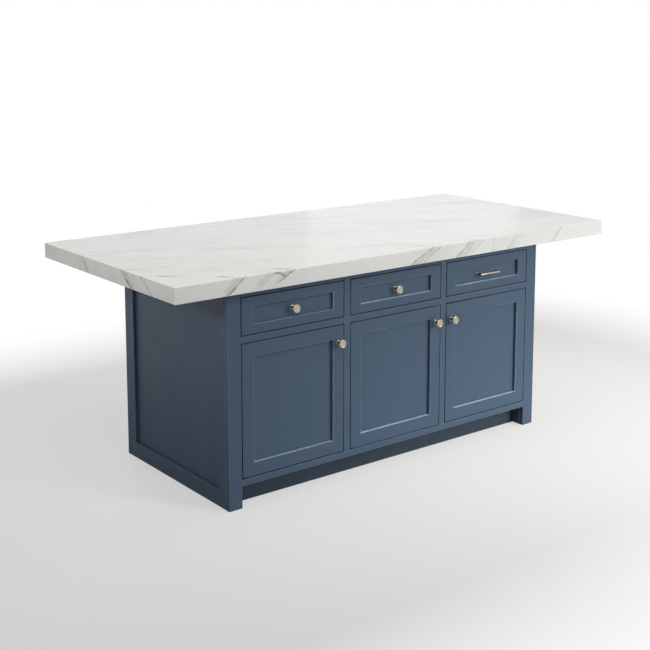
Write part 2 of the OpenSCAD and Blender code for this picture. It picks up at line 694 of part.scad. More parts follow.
// The winged plate screwed to the carcass side, under the arm's body
plate_w = 20;
module hinge_plate() translate([-pin_x, crank_y + plate_l / 2, 0]) rotate([90, 0, 90]) {
    linear_extrude(plate_t) {
        square([plate_w, plate_h - plate_w], center = true);
        for (z = [-1, 1] * (plate_h - plate_w) / 2) translate([0, z]) circle(plate_w / 2);
    }
    for (z = [-1, 1] * (plate_h - plate_w + 2) / 2) translate([0, z, plate_t]) pan_head();
}

module hinge_arms() color(steel_grey) for (bay = [0 : bays - 1], z = hinge_zs) at_hinge(bay, z) {
    hinge_arm();
    hinge_plate();
}

// ---- knobs and pull ----

// Turned knob standing out towards -Y from y = 0: stepped foot, waisted neck, and a disc head with a
// rolled rim round a shallow dish
head_z = knob_out - knob_head_t;
rim_r = 1.8;
module knob() rotate([90, 0, 0]) rotate_extrude($fn = 64) difference() {
    union() {
        square([knob_foot_r - 0.8, 2.2]);
        translate([0, 0.8]) square([knob_foot_r, 0.6]);
        translate([knob_foot_r - 0.8, 0.8]) circle(0.8);
        translate([knob_foot_r - 0.8, 1.4]) circle(0.8);
        translate([0, 2.2]) square([knob_neck_r + 2, 1.6]);
        square([knob_neck_r, head_z + 1]);
        polygon([[0, head_z - 6], [knob_neck_r, head_z - 6], [knob_neck_r + 1.2, head_z - 2.6],
            [knob_neck_r + 3.6, head_z - 0.4], [knob_r - 3, head_z + 1.2], [knob_r - rim_r / 2, head_z + 2.6],
            [knob_r, head_z + 4], [knob_r, knob_out - rim_r], [knob_r - rim_r, knob_out - rim_r],
            [knob_r - 2 * rim_r, knob_out - 1.2], [knob_r / 2, knob_out - 0.9], [0, knob_out - 0.8]]);
        translate([knob_r - rim_r, knob_out - rim_r]) circle(rim_r);
    }
    translate([-eps, -eps]) square([screw_r + eps, screw_bite + 1 + eps]);
    translate([-knob_foot_r, -knob_foot_r]) square([2 * knob_foot_r, knob_foot_r]);
}

// Machine screw along -Y with its head at y = 0
module fixing_screw(length) rotate([90, 0, 0]) {
    cylinder(r = screw_r, h = length);
    translate([0, 0, -2.4]) cylinder(r1 = 2.8, r2 = 3.9, h = 1.2);
    translate([0, 0, -1.2]) cylinder(r = 3.9, h = 1.2);
}

// Screws through the box end and the panel, 8 mm into the brass
screw_bite = 8;
drawer_screw_l = frame_t + box_wall - recess + screw_bite;

module drawer_knob(bay) color(brass_gold) pulled() at_drawer_front(bay)
    translate([front_w / 2, 0, drawer_h / 2]) {
        translate([0, recess, 0]) knob();
        translate([0, frame_t + box_wall, 0]) fixing_screw(drawer_screw_l);
    }

module door_knob(bay) color(brass_gold) swung(bay) at_door(bay) translate([knob_x(bay), 0, knob_z]) {
    knob();
    translate([0, frame_t, 0]) fixing_screw(frame_t + screw_bite);
}

// Bar on two posts, each post with a small foot; the bar's ends are turned to a shallow dome
module bar_pull() {
    translate([-pull_l / 2, -pull_out, 0]) rotate([0, 90, 0]) rotate_extrude()
        polygon([[0, 0], [pull_r - 1.6, 0.4], [pull_r - 0.4, 1.6], [pull_r, 3], [pull_r, pull_l - 3],
            [pull_r - 0.4, pull_l - 1.6], [pull_r - 1.6, pull_l - 0.4], [0, pull_l]]);
    for (x = [-1, 1] * pull_pitch / 2) translate([x, 0, 0]) rotate([90, 0, 0]) difference() {
        union() {
            cylinder(r = pull_r - 0.8, h = pull_out);
            cylinder(r1 = pull_r + 1.6, r2 = pull_r + 1.2, h = 2);
        }
        translate([0, 0, -eps]) cylinder(r = screw_r, h = screw_bite + 1);
    }
}

module drawer_pull(bay) color(brass_gold) pulled() at_drawer_front(bay)
    translate([front_w / 2, 0, drawer_h / 2]) {
        translate([0, recess, 0]) bar_pull();
        for (x = [-1, 1] * pull_pitch / 2) translate([x, frame_t + box_wall, 0]) fixing_screw(drawer_screw_l);
    }

// ---- nodes ----

worktop();
worktop_substrate();
overhang_bars();
face_stile_left();
face_stile_right();
face_rail_top();
face_rail_bottom();
face_mullions();
face_mid_rails();
end_frame_left();
end_frame_right();
end_panels();
back_frame();
back_panels();
carcass_left_sides();
carcass_right_sides();
carcass_floors();
carcass_stretchers();
carcass_backs();
carcass_bolts();
shelves();
shelf_pegs();
toe_kick();
foot_returns();
end_packers();
runner_rails();
hinge_arms();
drawer_front_frame(left);  // drawer_left_frame
drawer_front_panel(left);  // drawer_left_panel
drawer_box(left);  // drawer_left_box
drawer_bottom(left);  // drawer_left_bottom
drawer_slides(left);  // drawer_left_slides
drawer_knob(left);  // drawer_left_knob
runner_middles(left);  // runner_left_middles
drawer_front_frame(middle);  // drawer_middle_frame
drawer_front_panel(middle);  // drawer_middle_panel
drawer_box(middle);  // drawer_middle_box
drawer_bottom(middle);  // drawer_middle_bottom
drawer_slides(middle);  // drawer_middle_slides
drawer_knob(middle);  // drawer_middle_knob
runner_middles(middle);  // runner_middle_middles
drawer_front_frame(right);  // drawer_right_frame
drawer_front_panel(right);  // drawer_right_panel
drawer_box(right);  // drawer_right_box
drawer_bottom(right);  // drawer_right_bottom
drawer_slides(right);  // drawer_right_slides
drawer_pull(right);  // drawer_right_pull
runner_middles(right);  // runner_right_middles
door_frame(left);  // door_left_frame
door_panel(left);  // door_left_panel
door_hinge_cups(left);  // door_left_hinge_cups
door_knob(left);  // door_left_knob
door_frame(middle);  // door_middle_frame
door_panel(middle);  // door_middle_panel
door_hinge_cups(middle);  // door_middle_hinge_cups
door_knob(middle);  // door_middle_knob
door_frame(right);  // door_right_frame
door_panel(right);  // door_right_panel
door_hinge_cups(right);  // door_right_hinge_cups
door_knob(right);  // door_right_knob
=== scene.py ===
import json
import math

import bmesh
import bpy
from bpy.props import FloatProperty, FloatVectorProperty, IntProperty, PointerProperty
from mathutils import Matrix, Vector


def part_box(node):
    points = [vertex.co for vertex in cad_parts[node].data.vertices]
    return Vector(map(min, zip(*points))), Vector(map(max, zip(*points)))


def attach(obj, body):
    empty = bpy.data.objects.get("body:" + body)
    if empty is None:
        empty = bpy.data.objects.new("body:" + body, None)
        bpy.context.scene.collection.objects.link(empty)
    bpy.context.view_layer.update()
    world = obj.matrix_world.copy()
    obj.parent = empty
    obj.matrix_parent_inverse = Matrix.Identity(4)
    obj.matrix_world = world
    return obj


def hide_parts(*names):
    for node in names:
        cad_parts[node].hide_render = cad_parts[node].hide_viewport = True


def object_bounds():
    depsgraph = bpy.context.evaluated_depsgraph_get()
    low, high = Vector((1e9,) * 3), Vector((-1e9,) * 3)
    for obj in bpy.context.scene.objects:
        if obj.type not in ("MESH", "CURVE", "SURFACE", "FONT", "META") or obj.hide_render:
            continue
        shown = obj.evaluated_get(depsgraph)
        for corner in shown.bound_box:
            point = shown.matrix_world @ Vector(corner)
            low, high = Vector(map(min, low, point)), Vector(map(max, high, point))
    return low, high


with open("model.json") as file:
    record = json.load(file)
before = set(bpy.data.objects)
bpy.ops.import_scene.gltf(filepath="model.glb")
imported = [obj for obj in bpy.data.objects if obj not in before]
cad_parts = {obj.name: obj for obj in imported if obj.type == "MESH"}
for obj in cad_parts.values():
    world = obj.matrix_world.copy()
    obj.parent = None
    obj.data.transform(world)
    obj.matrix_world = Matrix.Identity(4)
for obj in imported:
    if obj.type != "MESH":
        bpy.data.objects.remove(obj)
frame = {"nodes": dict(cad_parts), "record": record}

bl_info = {
    "name": "Kitchen Island Finishes",
    "version": (1, 0, 0),
    "blender": (4, 5, 0),
    "location": "3D View > Sidebar > Island",
    "description": "Stone, painted joinery, boards, hardware and stage for a kitchen island unit",
    "category": "Object",
}

# The box of the solids, before any piece is added
CAD_BOX = [list(corner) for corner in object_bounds()]

BODY_OF = {node: body for body, nodes in frame["record"]["behaviour"]["bodies"].items() for node in nodes}
BAYS = ("left", "middle", "right")

# Sizes that the solids share with the finishes, in metres, and the count of tails at a corner
DOOR_STILE = 0.054
DOOR_RAIL = 0.055
DRAWER_RAIL = 0.038
END_STILE = 0.068
END_FRONT_STILE = 0.046
END_RAIL = 0.067
BOX_WALL = 0.015
BOX_HEIGHT = 0.112
TAILS_PER_CORNER = 3
TAIL_FLARE = 0.006
KNOB_OUT = 0.032
PULL_PITCH = 0.102
PULL_OUT = 0.035
BAR_RADIUS = 0.005
SCREW_HEAD = 0.0024
RUNNER_SHEET = 0.0015
PLY = 0.0015
SCREW_IN_HANDLE = 0.004


# ---------------------------------------------------------------- settings


class StoneSettings(bpy.types.PropertyGroup):
    """Polished stone of the worktop"""

    ground: FloatVectorProperty(
        name="Ground", description="Colour of the stone between its veins",
        subtype="COLOR", size=3, min=0, max=1, default=(0.82, 0.83, 0.81))
    cloud: FloatVectorProperty(
        name="Cloud", description="Colour of the soft grey clouds in the ground",
        subtype="COLOR", size=3, min=0, max=1, default=(0.62, 0.63, 0.62))
    vein: FloatVectorProperty(
        name="Vein", description="Colour at the heart of the veins",
        subtype="COLOR", size=3, min=0, max=1, default=(0.215, 0.22, 0.225))
    wander: FloatProperty(
        name="Wander", description="How far a vein strays from its straight course",
        subtype="DISTANCE", unit="LENGTH", min=0, default=0.024)
    polish: FloatProperty(
        name="Roughness", description="Roughness of the polished faces",
        subtype="FACTOR", min=0, max=1, default=0.16)


class PaintSettings(bpy.types.PropertyGroup):
    """Satin paint on the joinery"""

    colour: FloatVectorProperty(
        name="Paint", description="Colour of the paint",
        subtype="COLOR", size=3, min=0, max=1, default=(0.055, 0.092, 0.147))
    # Partly sparse paint on the eased edges, partly painted highlight where they catch the light
    thin: FloatVectorProperty(
        name="Thin paint", description="Colour on the eased edges, where the paint lies thin",
        subtype="COLOR", size=3, min=0, max=1, default=(0.26, 0.33, 0.42))
    roughness: FloatProperty(
        name="Roughness", description="Roughness of the satin face",
        subtype="FACTOR", min=0, max=1, default=0.42)
    strokes: FloatProperty(
        name="Brush marks", description="Height of the brush marks",
        subtype="DISTANCE", unit="LENGTH", min=0, default=0.00012)
    joint: FloatProperty(
        name="Joint line", description="Half width of the hairline where a rail meets a stile",
        subtype="DISTANCE", unit="LENGTH", min=0, default=0.0004)
    # Painted shade: darkens the paint on the sides of the gaps round doors and drawers, where shade falls
    gap_dust: FloatProperty(
        name="Gap dust", description="How much dust darkens the sides of the gaps round doors and drawers",
        subtype="FACTOR", min=0, max=1, default=0.96)
    # Painted highlight: a pale colour on ledges that face up, for the light that they catch
    ledge: FloatVectorProperty(
        name="Ledges", description="Paint colour on ledges that face up, where fine dust settles",
        subtype="COLOR", size=3, min=0, max=1, default=(0.48, 0.57, 0.67))
    # Painted highlight on the ledges, by bay: more on the right, where the light falls
    door_dust: FloatVectorProperty(
        name="Dust on doors", description="How much the ledges of the left, middle and right door show it",
        size=3, min=0, max=1, default=(0.6, 1.0, 1.0))
    drawer_dust: FloatVectorProperty(
        name="Dust on drawers",
        description="How much the ledges of the left, middle and right drawer front show it",
        size=3, min=0, max=1, default=(0.15, 1.0, 1.0))


class TimberSettings(bpy.types.PropertyGroup):
    """Birch drawer boxes, plywood and white boards"""

    birch: FloatVectorProperty(
        name="Birch", description="Pale wood between the grain lines",
        subtype="COLOR", size=3, min=0, max=1, default=(0.69, 0.53, 0.345))
    birch_line: FloatVectorProperty(
        name="Birch grain", description="Darker wood of the grain lines",
        subtype="COLOR", size=3, min=0, max=1, default=(0.50, 0.345, 0.195))
    end_grain: FloatVectorProperty(
        name="End grain", description="Wood seen across the ends of its fibres",
        subtype="COLOR", size=3, min=0, max=1, default=(0.40, 0.265, 0.145))
    board: FloatVectorProperty(
        name="White board", description="Face of the carcass boards",
        subtype="COLOR", size=3, min=0, max=1, default=(0.74, 0.73, 0.70))


class MetalSettings(bpy.types.PropertyGroup):
    """Brass handles and steel hardware"""

    brass: FloatVectorProperty(
        name="Brass", description="Colour of the satin brass",
        subtype="COLOR", size=3, min=0, max=1, default=(0.50, 0.445, 0.335))
    tarnish: FloatVectorProperty(
        name="Tarnish", description="Brass that hands don't reach, round the neck and foot",
        subtype="COLOR", size=3, min=0, max=1, default=(0.23, 0.175, 0.10))
    brass_roughness: FloatProperty(
        name="Brass roughness", description="Roughness of the satin brass",
        subtype="FACTOR", min=0, max=1, default=0.19)
    steel: FloatVectorProperty(
        name="Steel", description="Colour of the zinc-plated steel",
        subtype="COLOR", size=3, min=0, max=1, default=(0.56, 0.57, 0.585))
    steel_roughness: FloatProperty(
        name="Steel roughness", description="Roughness of the plated steel",
        subtype="FACTOR", min=0, max=1, default=0.33)


class EdgeSettings(bpy.types.PropertyGroup):
    """Eased edges"""

    painted: FloatProperty(
        name="Painted edges", description="Width of the eased edge on painted wood",
        subtype="DISTANCE", unit="LENGTH", min=0, default=0.0017)
    boards: FloatProperty(
        name="Board edges", description="Width of the eased edge on boards and drawer boxes",
        subtype="DISTANCE", unit="LENGTH", min=0, default=0.0005)
    segments: IntProperty(
        name="Steps", description="Steps across an eased edge", min=1, max=4, default=3)


class ScrewSettings(bpy.types.PropertyGroup):
    """Small screws in rows"""

    head_radius: FloatProperty(
        name="Head radius", description="Radius of a screw head",
        subtype="DISTANCE", unit="LENGTH", min=0.001, default=0.0037)
    head_height: FloatProperty(
        name="Head height", description="Height of a screw head",
        subtype="DISTANCE", unit="LENGTH", min=0.0005, default=0.0019)
    per_runner: IntProperty(
        name="Screws per runner", description="Screws that hold a runner to its drawer box",
        min=2, max=12, default=4)
    per_bar: IntProperty(
        name="Screws per bar", description="Screws under each steel bar of the overhang",
        min=2, max=12, default=4)
    per_stretcher: IntProperty(
        name="Screws per stretcher", description="Screws up through each stretcher into the worktop",
        min=2, max=12, default=3)


class StageSettings(bpy.types.PropertyGroup):
    """Floor, lights and camera"""

    floor: FloatVectorProperty(
        name="Floor", description="Colour of the pale floor",
        subtype="COLOR", size=3, min=0, max=1, default=(0.80, 0.80, 0.79))
    ambient: FloatProperty(
        name="Ambient", description="Strength of the light from all round",
        min=0, max=2, default=0.28)
    key: FloatProperty(
        name="Key", description="Power of the large softbox at the front right",
        unit="POWER", min=0, default=44)
    overhead: FloatProperty(
        name="Overhead", description="Power of the softbox over the worktop",
        unit="POWER", min=0, default=9)
    front: FloatProperty(
        name="Front", description="Power of the softbox at the front left",
        unit="POWER", min=0, default=5.8)
    fill: FloatProperty(
        name="Fill", description="Power of the softbox at the left",
        unit="POWER", min=0, default=5)
    back: FloatProperty(
        name="Back", description="Power of the softbox behind the island",
        unit="POWER", min=0, default=5)
    window: FloatProperty(
        name="Window", description="Power of the tall panel whose reflection lies on the worktop",
        unit="POWER", min=0, default=1.7)
    lens: FloatProperty(
        name="Lens", description="Focal length on a 36 mm sensor",
        subtype="DISTANCE_CAMERA", unit="CAMERA", min=1, default=66.468)


GROUPS = {
    "island_stone": StoneSettings, "island_paint": PaintSettings, "island_timber": TimberSettings,
    "island_metal": MetalSettings, "island_edges": EdgeSettings, "island_screws": ScrewSettings,
    "island_stage": StageSettings}


# ---------------------------------------------------------------- node trees


class Signal:
    """What a node puts out. Arithmetic with signals adds the nodes that work it out."""

    def __init__(self, wiring, socket):
        self.wiring = wiring
        self.socket = socket

    def __add__(self, other):
        return self.wiring.maths("ADD", self, other)

    def __sub__(self, other):
        return self.wiring.maths("SUBTRACT", self, other)

    def __rsub__(self, other):
        return self.wiring.maths("SUBTRACT", other, self)

    def __mul__(self, other):
        return self.wiring.maths("MULTIPLY", self, other)

    def __truediv__(self, other):
        return self.wiring.maths("DIVIDE", self, other)

    def __rtruediv__(self, other):
        return self.wiring.maths("DIVIDE", other, self)

    def __abs__(self):
        return self.wiring.maths("ABSOLUTE", self)

    def __gt__(self, other):
        return self.wiring.maths("GREATER_THAN", self, other)

    def __lt__(self, other):
        return self.wiring.maths("LESS_THAN", self, other)

    __radd__ = __add__


class Wiring:
    """Adds nodes to a node tree in reading order and joins them as they come."""

    def __init__(self, tree):
        self.tree = tree

    def node(self, kind, inputs=None, **settings):
        """Adds a node. Its inputs, by name or number, take a value or the signal that feeds them."""
        count = len(self.tree.nodes)
        node = self.tree.nodes.new(kind)
        node.location = (200 * (count % 10), -260 * (count // 10))
        for name, value in settings.items():
            setattr(node, name, value)
        for name, value in (inputs or {}).items():
            self.feed(node.inputs[name], value)
        return node

    def feed(self, socket, value):
        """Sets a socket, or joins it to the signal or the list of signals that feeds it."""
        if isinstance(value, Signal):
            self.tree.links.new(value.socket, socket)
        elif isinstance(value, list):
            for signal in value:
                self.feed(socket, signal)
        else:
            socket.default_value = value

    def out(self, kind, inputs=None, output=0, **settings):
        """Adds a node and gives one of its outputs."""
        return Signal(self, self.node(kind, inputs, **settings).outputs[output])

    def outputs(self, kind, inputs=None, **settings):
        """Adds a node and gives its outputs by name."""
        return {socket.name: Signal(self, socket) for socket in self.node(kind, inputs, **settings).outputs}

    def maths(self, operation, *values, clamp=False):
        return self.out("ShaderNodeMath", dict(enumerate(values)), operation=operation, use_clamp=clamp)

    def vector(self, operation, *values):
        inputs = {"Scale" if operation == "SCALE" and number else number: value
                  for number, value in enumerate(values)}
        output = "Value" if operation in ("DOT_PRODUCT", "DISTANCE", "LENGTH") else "Vector"
        return self.out("ShaderNodeVectorMath", inputs, output, operation=operation)

    def parts(self, vector):
        return list(self.outputs("ShaderNodeSeparateXYZ", {0: vector}).values())

    def joined(self, x, y, z):
        return self.out("ShaderNodeCombineXYZ", {0: x, 1: y, 2: z})

    def ranged(self, value, low, high, to_low=0.0, to_high=1.0):
        """A value that runs smoothly from one range to another and stays inside it."""
        return self.out("ShaderNodeMapRange", {0: value, 1: low, 2: high, 3: to_low, 4: to_high},
                        interpolation_type="SMOOTHSTEP")

    def mixed(self, factor, first, second, blend="MIX"):
        """Two colours mixed, each a signal or the red, green and blue of a setting."""
        first, second = (value if isinstance(value, Signal) else (*value, 1.0) for value in (first, second))
        return self.out("ShaderNodeMix", {0: factor, 6: first, 7: second}, 2,
                        data_type="RGBA", blend_type=blend, clamp_factor=True)

    def mixed_vector(self, factor, first, second):
        return self.out("ShaderNodeMix", {0: factor, 4: first, 5: second}, 1, data_type="VECTOR")

    def noise(self, place, scale, detail=2.0, rough=0.5, distortion=0.0, output=0):
        return self.out("ShaderNodeTexNoise", {
            "Vector": place, "Scale": scale, "Detail": detail, "Roughness": rough,
            "Distortion": distortion}, output)

    def attribute(self, name, output="Fac"):
        return self.out("ShaderNodeAttribute", output=output, attribute_name=name)

    def here(self, output="Object"):
        """The place of a point on the object, or with "Normal" the way its surface faces."""
        return self.out("ShaderNodeTexCoord", output=output)

    def effect(self, build, **inputs):
        """Places a shared effect: a node group that build makes the first time it is asked for.

        The keyword arguments of build are the group's inputs, and it gives the group's outputs."""
        name = build.__name__.replace("_", " ").capitalize()
        tree = bpy.data.node_groups.get(name) or effect_tree(name, build)
        inputs = {label_of(key): value for key, value in inputs.items()}
        return self.outputs("ShaderNodeGroup", inputs, node_tree=tree)


def label_of(key):
    return key.replace("_", " ").title()


def effect_tree(name, build):
    """A shader node group whose inputs are the keyword arguments of build, with their defaults."""
    tree = bpy.data.node_groups.new(name, "ShaderNodeTree")
    settings = build.__kwdefaults__
    for key, default in settings.items():
        kind = "NodeSocketVector" if isinstance(default, tuple) else "NodeSocketFloat"
        socket = tree.interface.new_socket(name=label_of(key), in_out="INPUT", socket_type=kind)
        socket.default_value = default
    w = Wiring(tree)
    given = w.outputs("NodeGroupInput")
    made = build(w, **{key: given[label_of(key)] for key in settings})
    for label in made:
        tree.interface.new_socket(name=label, in_out="OUTPUT", socket_type="NodeSocketFloat")
    w.node("NodeGroupOutput", made)
    return tree


ORIGIN = (0.0, 0.0, 0.0)


def frame_zones(w, *, place=ORIGIN, clear=(0, 0, 10), joint_width=0.0004):
    """Tells stiles from rails, and marks the hairline where they meet."""
    across, up, _ = w.parts(place)
    clear_width, clear_height, pitch = w.parts(clear)
    half_pitch = pitch * 0.5
    past_side = abs(w.maths("WRAP", across, half_pitch, half_pitch * -1.0)) - clear_width
    past_end = abs(up) - clear_height
    near = w.ranged(abs(past_side), 0.0, joint_width, 1.0, 0.0)
    return {"Stile": past_side > 0.0, "Joint": near * (past_end > 0.0)}


def brush_marks(w, *, place=ORIGIN, stile=1.0, across=420.0, along=9.0):
    """Long fine strokes, up and down on stiles and panels and along the rails."""
    stretch = w.mixed_vector(stile, w.joined(along, across, across), w.joined(across, along, across))
    stretched = w.vector("MULTIPLY", place, stretch)
    return {"Height": w.noise(stretched, 1.0, 3.0, 0.55), "Patches": w.noise(stretched, 0.07)}


def handling(w, *, place=ORIGIN, size=0.08):
    """Soft smudges where hands and cloths have passed, from -1 to 1."""
    return {"Smudge": w.ranged(w.noise(place, 1.0 / size, 4.0, 0.6, 0.4), 0.3, 0.7, -1.0, 1.0)}


def stone_vein(w, *, place=ORIGIN, facing=(0, 1, 0), offset=0.0, half_width=0.003, halo=0.02,
               middle=ORIGIN, reach=9.0, breaks=1.0, strength=1.0):
    """A vein: a thin leaning sheet through the stone, fading out beyond its reach."""
    level = w.vector("DOT_PRODUCT", place, facing) - offset
    heart = w.ranged(abs(level), 0.0, half_width, 1.0, 0.0) * breaks
    # The grey band lies on one side of the heart only
    share = level / halo
    band = w.ranged(share, 0.72, 1.0, 0.34, 0.0) * w.ranged(share, -0.10, 0.05) * (breaks * 0.6 + 0.4)
    inside = w.ranged(w.vector("DISTANCE", place, middle) / reach, 0.7, 1.15, 1.0, 0.0)
    return {"Mask": w.maths("ADD", heart, band, clamp=True) * strength * inside}


def wood_grain(w, *, place=ORIGIN, axis=(1, 0, 0), normal=(0, 0, 1), figure=5.0):
    """Grain of a board whose fibres run along an axis, and the pores seen across its ends."""
    run = w.vector("DOT_PRODUCT", place, axis)
    squeezed = w.vector("SUBTRACT", place, w.vector("SCALE", axis, run * 0.955))
    fibres = w.noise(squeezed, 620.0, 3.0, 0.6)
    rings = w.maths("SINE", w.noise(squeezed, figure, 2.0, 0.5, 0.6) * 62.0)
    line = w.ranged(rings, -0.1, 1.0, 0.0, 0.65) * w.ranged(fibres, 0.3, 0.62)
    across = abs(w.vector("DOT_PRODUCT", normal, axis))
    return {"Line": w.maths("ADD", line, w.ranged(fibres, 0.52, 0.8, 0.0, 0.35), clamp=True),
            "End": across > 0.7, "Height": fibres}


def dovetails(w, *, place=ORIGIN, half_width=0.2, half_length=0.2, wall=0.015, pitch=0.037, tail=0.017,
              flare=0.006):
    """Tells the side boards of a drawer box from its end boards, tails and sockets included."""
    x, y, z = w.parts(place)
    in_side = abs(x) > half_width - wall * 1.02
    past = abs(y) - (half_length - wall)
    half_tail = (tail + flare * w.maths("DIVIDE", past, wall, clamp=True)) * 0.5
    beyond = abs(w.maths("WRAP", z, pitch, 0.0) - pitch * 0.5) - half_tail
    before = past < 0.0
    side = in_side * w.maths("MAXIMUM", before, beyond < 0.0)
    hairline = 0.0003
    at_edge = w.ranged(abs(beyond), 0.0, hairline, 1.0, 0.0)
    at_shoulder = w.ranged(abs(past), 0.0, hairline, 1.0, 0.0)
    return {"Side": side, "Line": w.maths("MAXIMUM", at_edge * (1.0 - before), at_shoulder) * in_side}


# ---------------------------------------------------------------- finishes


def new_finish(name):
    """An empty material with its Principled shader, and the wiring for the rest."""
    material = bpy.data.materials.new(name)
    material.use_nodes = True
    return material, Wiring(material.node_tree), material.node_tree.nodes["Principled BSDF"]


def coat(w, shader, colour, roughness, relief, depth):
    """Feeds a surface: its colour, its roughness and its fine relief, with the depth of that."""
    w.feed(shader.inputs["Base Color"], colour)
    w.feed(shader.inputs["Roughness"], roughness)
    bump = w.out("ShaderNodeBump", {"Height": relief, "Distance": depth, "Strength": 1.0})
    w.feed(shader.inputs["Normal"], bump)


def darker(colour, share):
    return tuple(value * share for value in colour)


# Veins of the worktop: where each comes up to the top (x, y in metres) and its heading there in
# degrees, how far its sheet leans over as it goes down, its half width, the width of the grey band
# beside it (below 0 on the other side), its strength, and how far it reaches
VEINS = (
    (-1.160, 0.166, -38, -0.64, 0.0050, 0.026, 0.50, 0.130),
    (-1.160, -0.147, -38, -0.86, 0.0062, -0.030, 0.95, 0.120),
    (-1.160, -0.306, -38, -1.02, 0.0034, 0.010, 0.85, 0.140),
    (-0.855, -0.540, -38, -0.85, 0.0046, -0.026, 0.85, 0.110),
    (-0.690, -0.540, -38, -1.25, 0.0016, -0.024, 0.55, 0.130),
    (-0.715, -0.540, -38, 1.15, 0.0044, 0.012, 0.80, 0.055),
    (-0.582, -0.540, -38, -1.50, 0.0044, -0.018, 0.85, 0.140),
    (0.064, -0.540, -38, -1.23, 0.0030, 0.022, 0.70, 0.130),
    (0.108, -0.540, -38, -0.92, 0.0022, 0.006, 0.35, 0.110),
    (0.288, -0.540, -38, -0.83, 0.0032, 0.034, 0.72, 0.140),
    (0.370, -0.540, -38, -0.90, 0.0024, 0.008, 0.50, 0.120),
    (0.444, -0.540, -38, -0.11, 0.0040, 0.010, 0.25, 0.090),
    (0.868, -0.540, -38, -0.61, 0.0040, 0.012, 0.60, 0.100),
    (0.188, -0.372, -23, -0.26, 0.0040, 0.020, 0.22, 9.000),
    (0.789, -0.215, -29, -0.50, 0.0040, 0.020, 0.34, 9.000),
    (-0.975, 0.161, -22, -0.40, 0.0046, 0.016, 0.46, 0.190),
    (-0.726, -0.137, -71, -0.40, 0.0040, 0.014, 0.44, 0.163),
    (-1.060, -0.181, -26, -0.40, 0.0036, 0.010, 0.50, 0.069),
    (-0.574, -0.024, -77, -0.40, 0.0036, 0.012, 0.36, 0.148),
    (1.069, -0.260, -99, -0.20, 0.0040, 0.020, 0.34, 0.226),
    (-0.301, 0.293, -9, -0.30, 0.0060, 0.030, 0.34, 0.132),
    (-0.517, -0.393, 2, -0.30, 0.0036, 0.012, 0.36, 0.153),
    (0.932, -0.315, -5, -0.30, 0.0040, 0.016, 0.34, 0.096),
    (-0.782, 0.401, 4, -0.30, 0.0060, 0.026, 0.36, 0.220),
    (0.225, 0.295, -21, -0.60, 0.0050, 0.030, 0.28, 9.000),
    (0.730, 0.360, -23, -0.60, 0.0040, 0.024, 0.40, 9.000),
    (-0.780, 0.540, -38, -0.90, 0.0046, 0.028, 0.80, 0.140),
    (-0.180, 0.540, -38, -1.20, 0.0034, -0.022, 0.60, 0.130),
    (0.520, 0.540, -38, -0.70, 0.0040, 0.030, 0.70, 0.140),
    (1.160, 0.060, -38, -0.80, 0.0044, -0.028, 0.75, 0.130),
    (1.160, -0.240, -38, -1.05, 0.0030, 0.012, 0.50, 0.120))


def polished_stone(w, shader):
    """Polished white stone: veins set one by one, finer ones along their run, strokes and soft clouds."""
    settings = bpy.context.scene.island_stone
    place = w.here()
    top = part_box("worktop")[1].z
    middle_grey = (0.5, 0.5, 0.5)
    drift = w.vector("SUBTRACT", w.noise(place, 2.6, output=1), middle_grey)
    ripple = w.vector("SUBTRACT", w.noise(place, 13.0, 4.0, 0.62, output=1), middle_grey)
    bent = w.vector("ADD", place, w.vector("SCALE", drift, settings.wander * 2))
    bent = w.vector("ADD", bent, w.vector("SCALE", ripple, settings.wander * 1.1))
    on_edge = abs(w.parts(w.here("Normal"))[2]) < 0.5
    breaks = w.ranged(w.noise(place, 5.0, 3.0, 0.6), 0.44, 0.64, 0.04, 0.9)
    fine_breaks = w.ranged(w.noise(place, 30.0), 0.38, 0.6, 0.45, 1.0)
    breaks = w.maths("MAXIMUM", breaks, on_edge * fine_breaks)
    swell = w.ranged(w.noise(place, 10.0), 0.34, 0.68, 0.35, 1.6)
    total = 0.0
    for x, y, heading, lean, half_width, halo, strength, reach in VEINS:
        heading = math.radians(heading)
        facing = Vector((-math.sin(heading), math.cos(heading), lean)).normalized()
        middle = Vector((x, y, top))
        total = total + w.effect(
            stone_vein, place=bent, facing=facing, offset=facing.dot(middle), half_width=swell * half_width,
            halo=halo, middle=middle, reach=reach, breaks=breaks, strength=strength)["Mask"]
    calm = on_edge * -0.85 + 1.0
    # Finer veins follow the main run: the middle level of noises drawn out along it
    drawn_out = w.out("ShaderNodeMapping", {
        "Vector": bent, "Rotation": (-0.64, 0.0, -0.45), "Scale": (1.0, 0.27, 0.6)}, vector_type="TEXTURE")
    for scale, width, most, shift in ((1.3, 0.020, 0.14, 0.0), (2.4, 0.018, 0.12, 7.3)):
        moved = w.vector("ADD", drawn_out, (shift, shift, shift))
        line = w.ranged(abs(w.noise(moved, scale, 3.0, 0.5, 0.25) - 0.5), 0.0, width, 1.0, 0.0)
        somewhere = w.ranged(w.noise(moved, scale * 1.7), 0.46, 0.70, 0.0, most)
        total = w.maths("ADD", total, line * calm * somewhere, clamp=True)
    # Short strokes lie side by side in patches, along the run of the veins
    x, y, z = w.parts(bent)
    along = x * 0.80 - y * 0.60
    across = x * 0.60 + y * 0.80 - z * 0.75
    strokes = w.ranged(w.noise(w.joined(along * 8.5, across * 55.0, z * 9.0), 1.0), 0.57, 0.72, 0.0, 0.34)
    patches = w.ranged(w.noise(drawn_out, 1.1), 0.55, 0.68)
    total = w.maths("ADD", total, strokes * patches * calm, clamp=True)
    cloud = w.ranged(w.noise(drawn_out, 1.5, 4.0, 0.56, 0.3), 0.44, 0.76, 0.0, 0.6)
    ground = w.mixed(cloud, settings.ground, settings.cloud)
    smudge = w.effect(handling, place=place, size=0.3)["Smudge"]
    rough = smudge * 0.03 + total * 0.05 + settings.polish
    coat(w, shader, w.mixed(total, ground, settings.vein), rough, w.noise(place, 60.0), 0.00002)


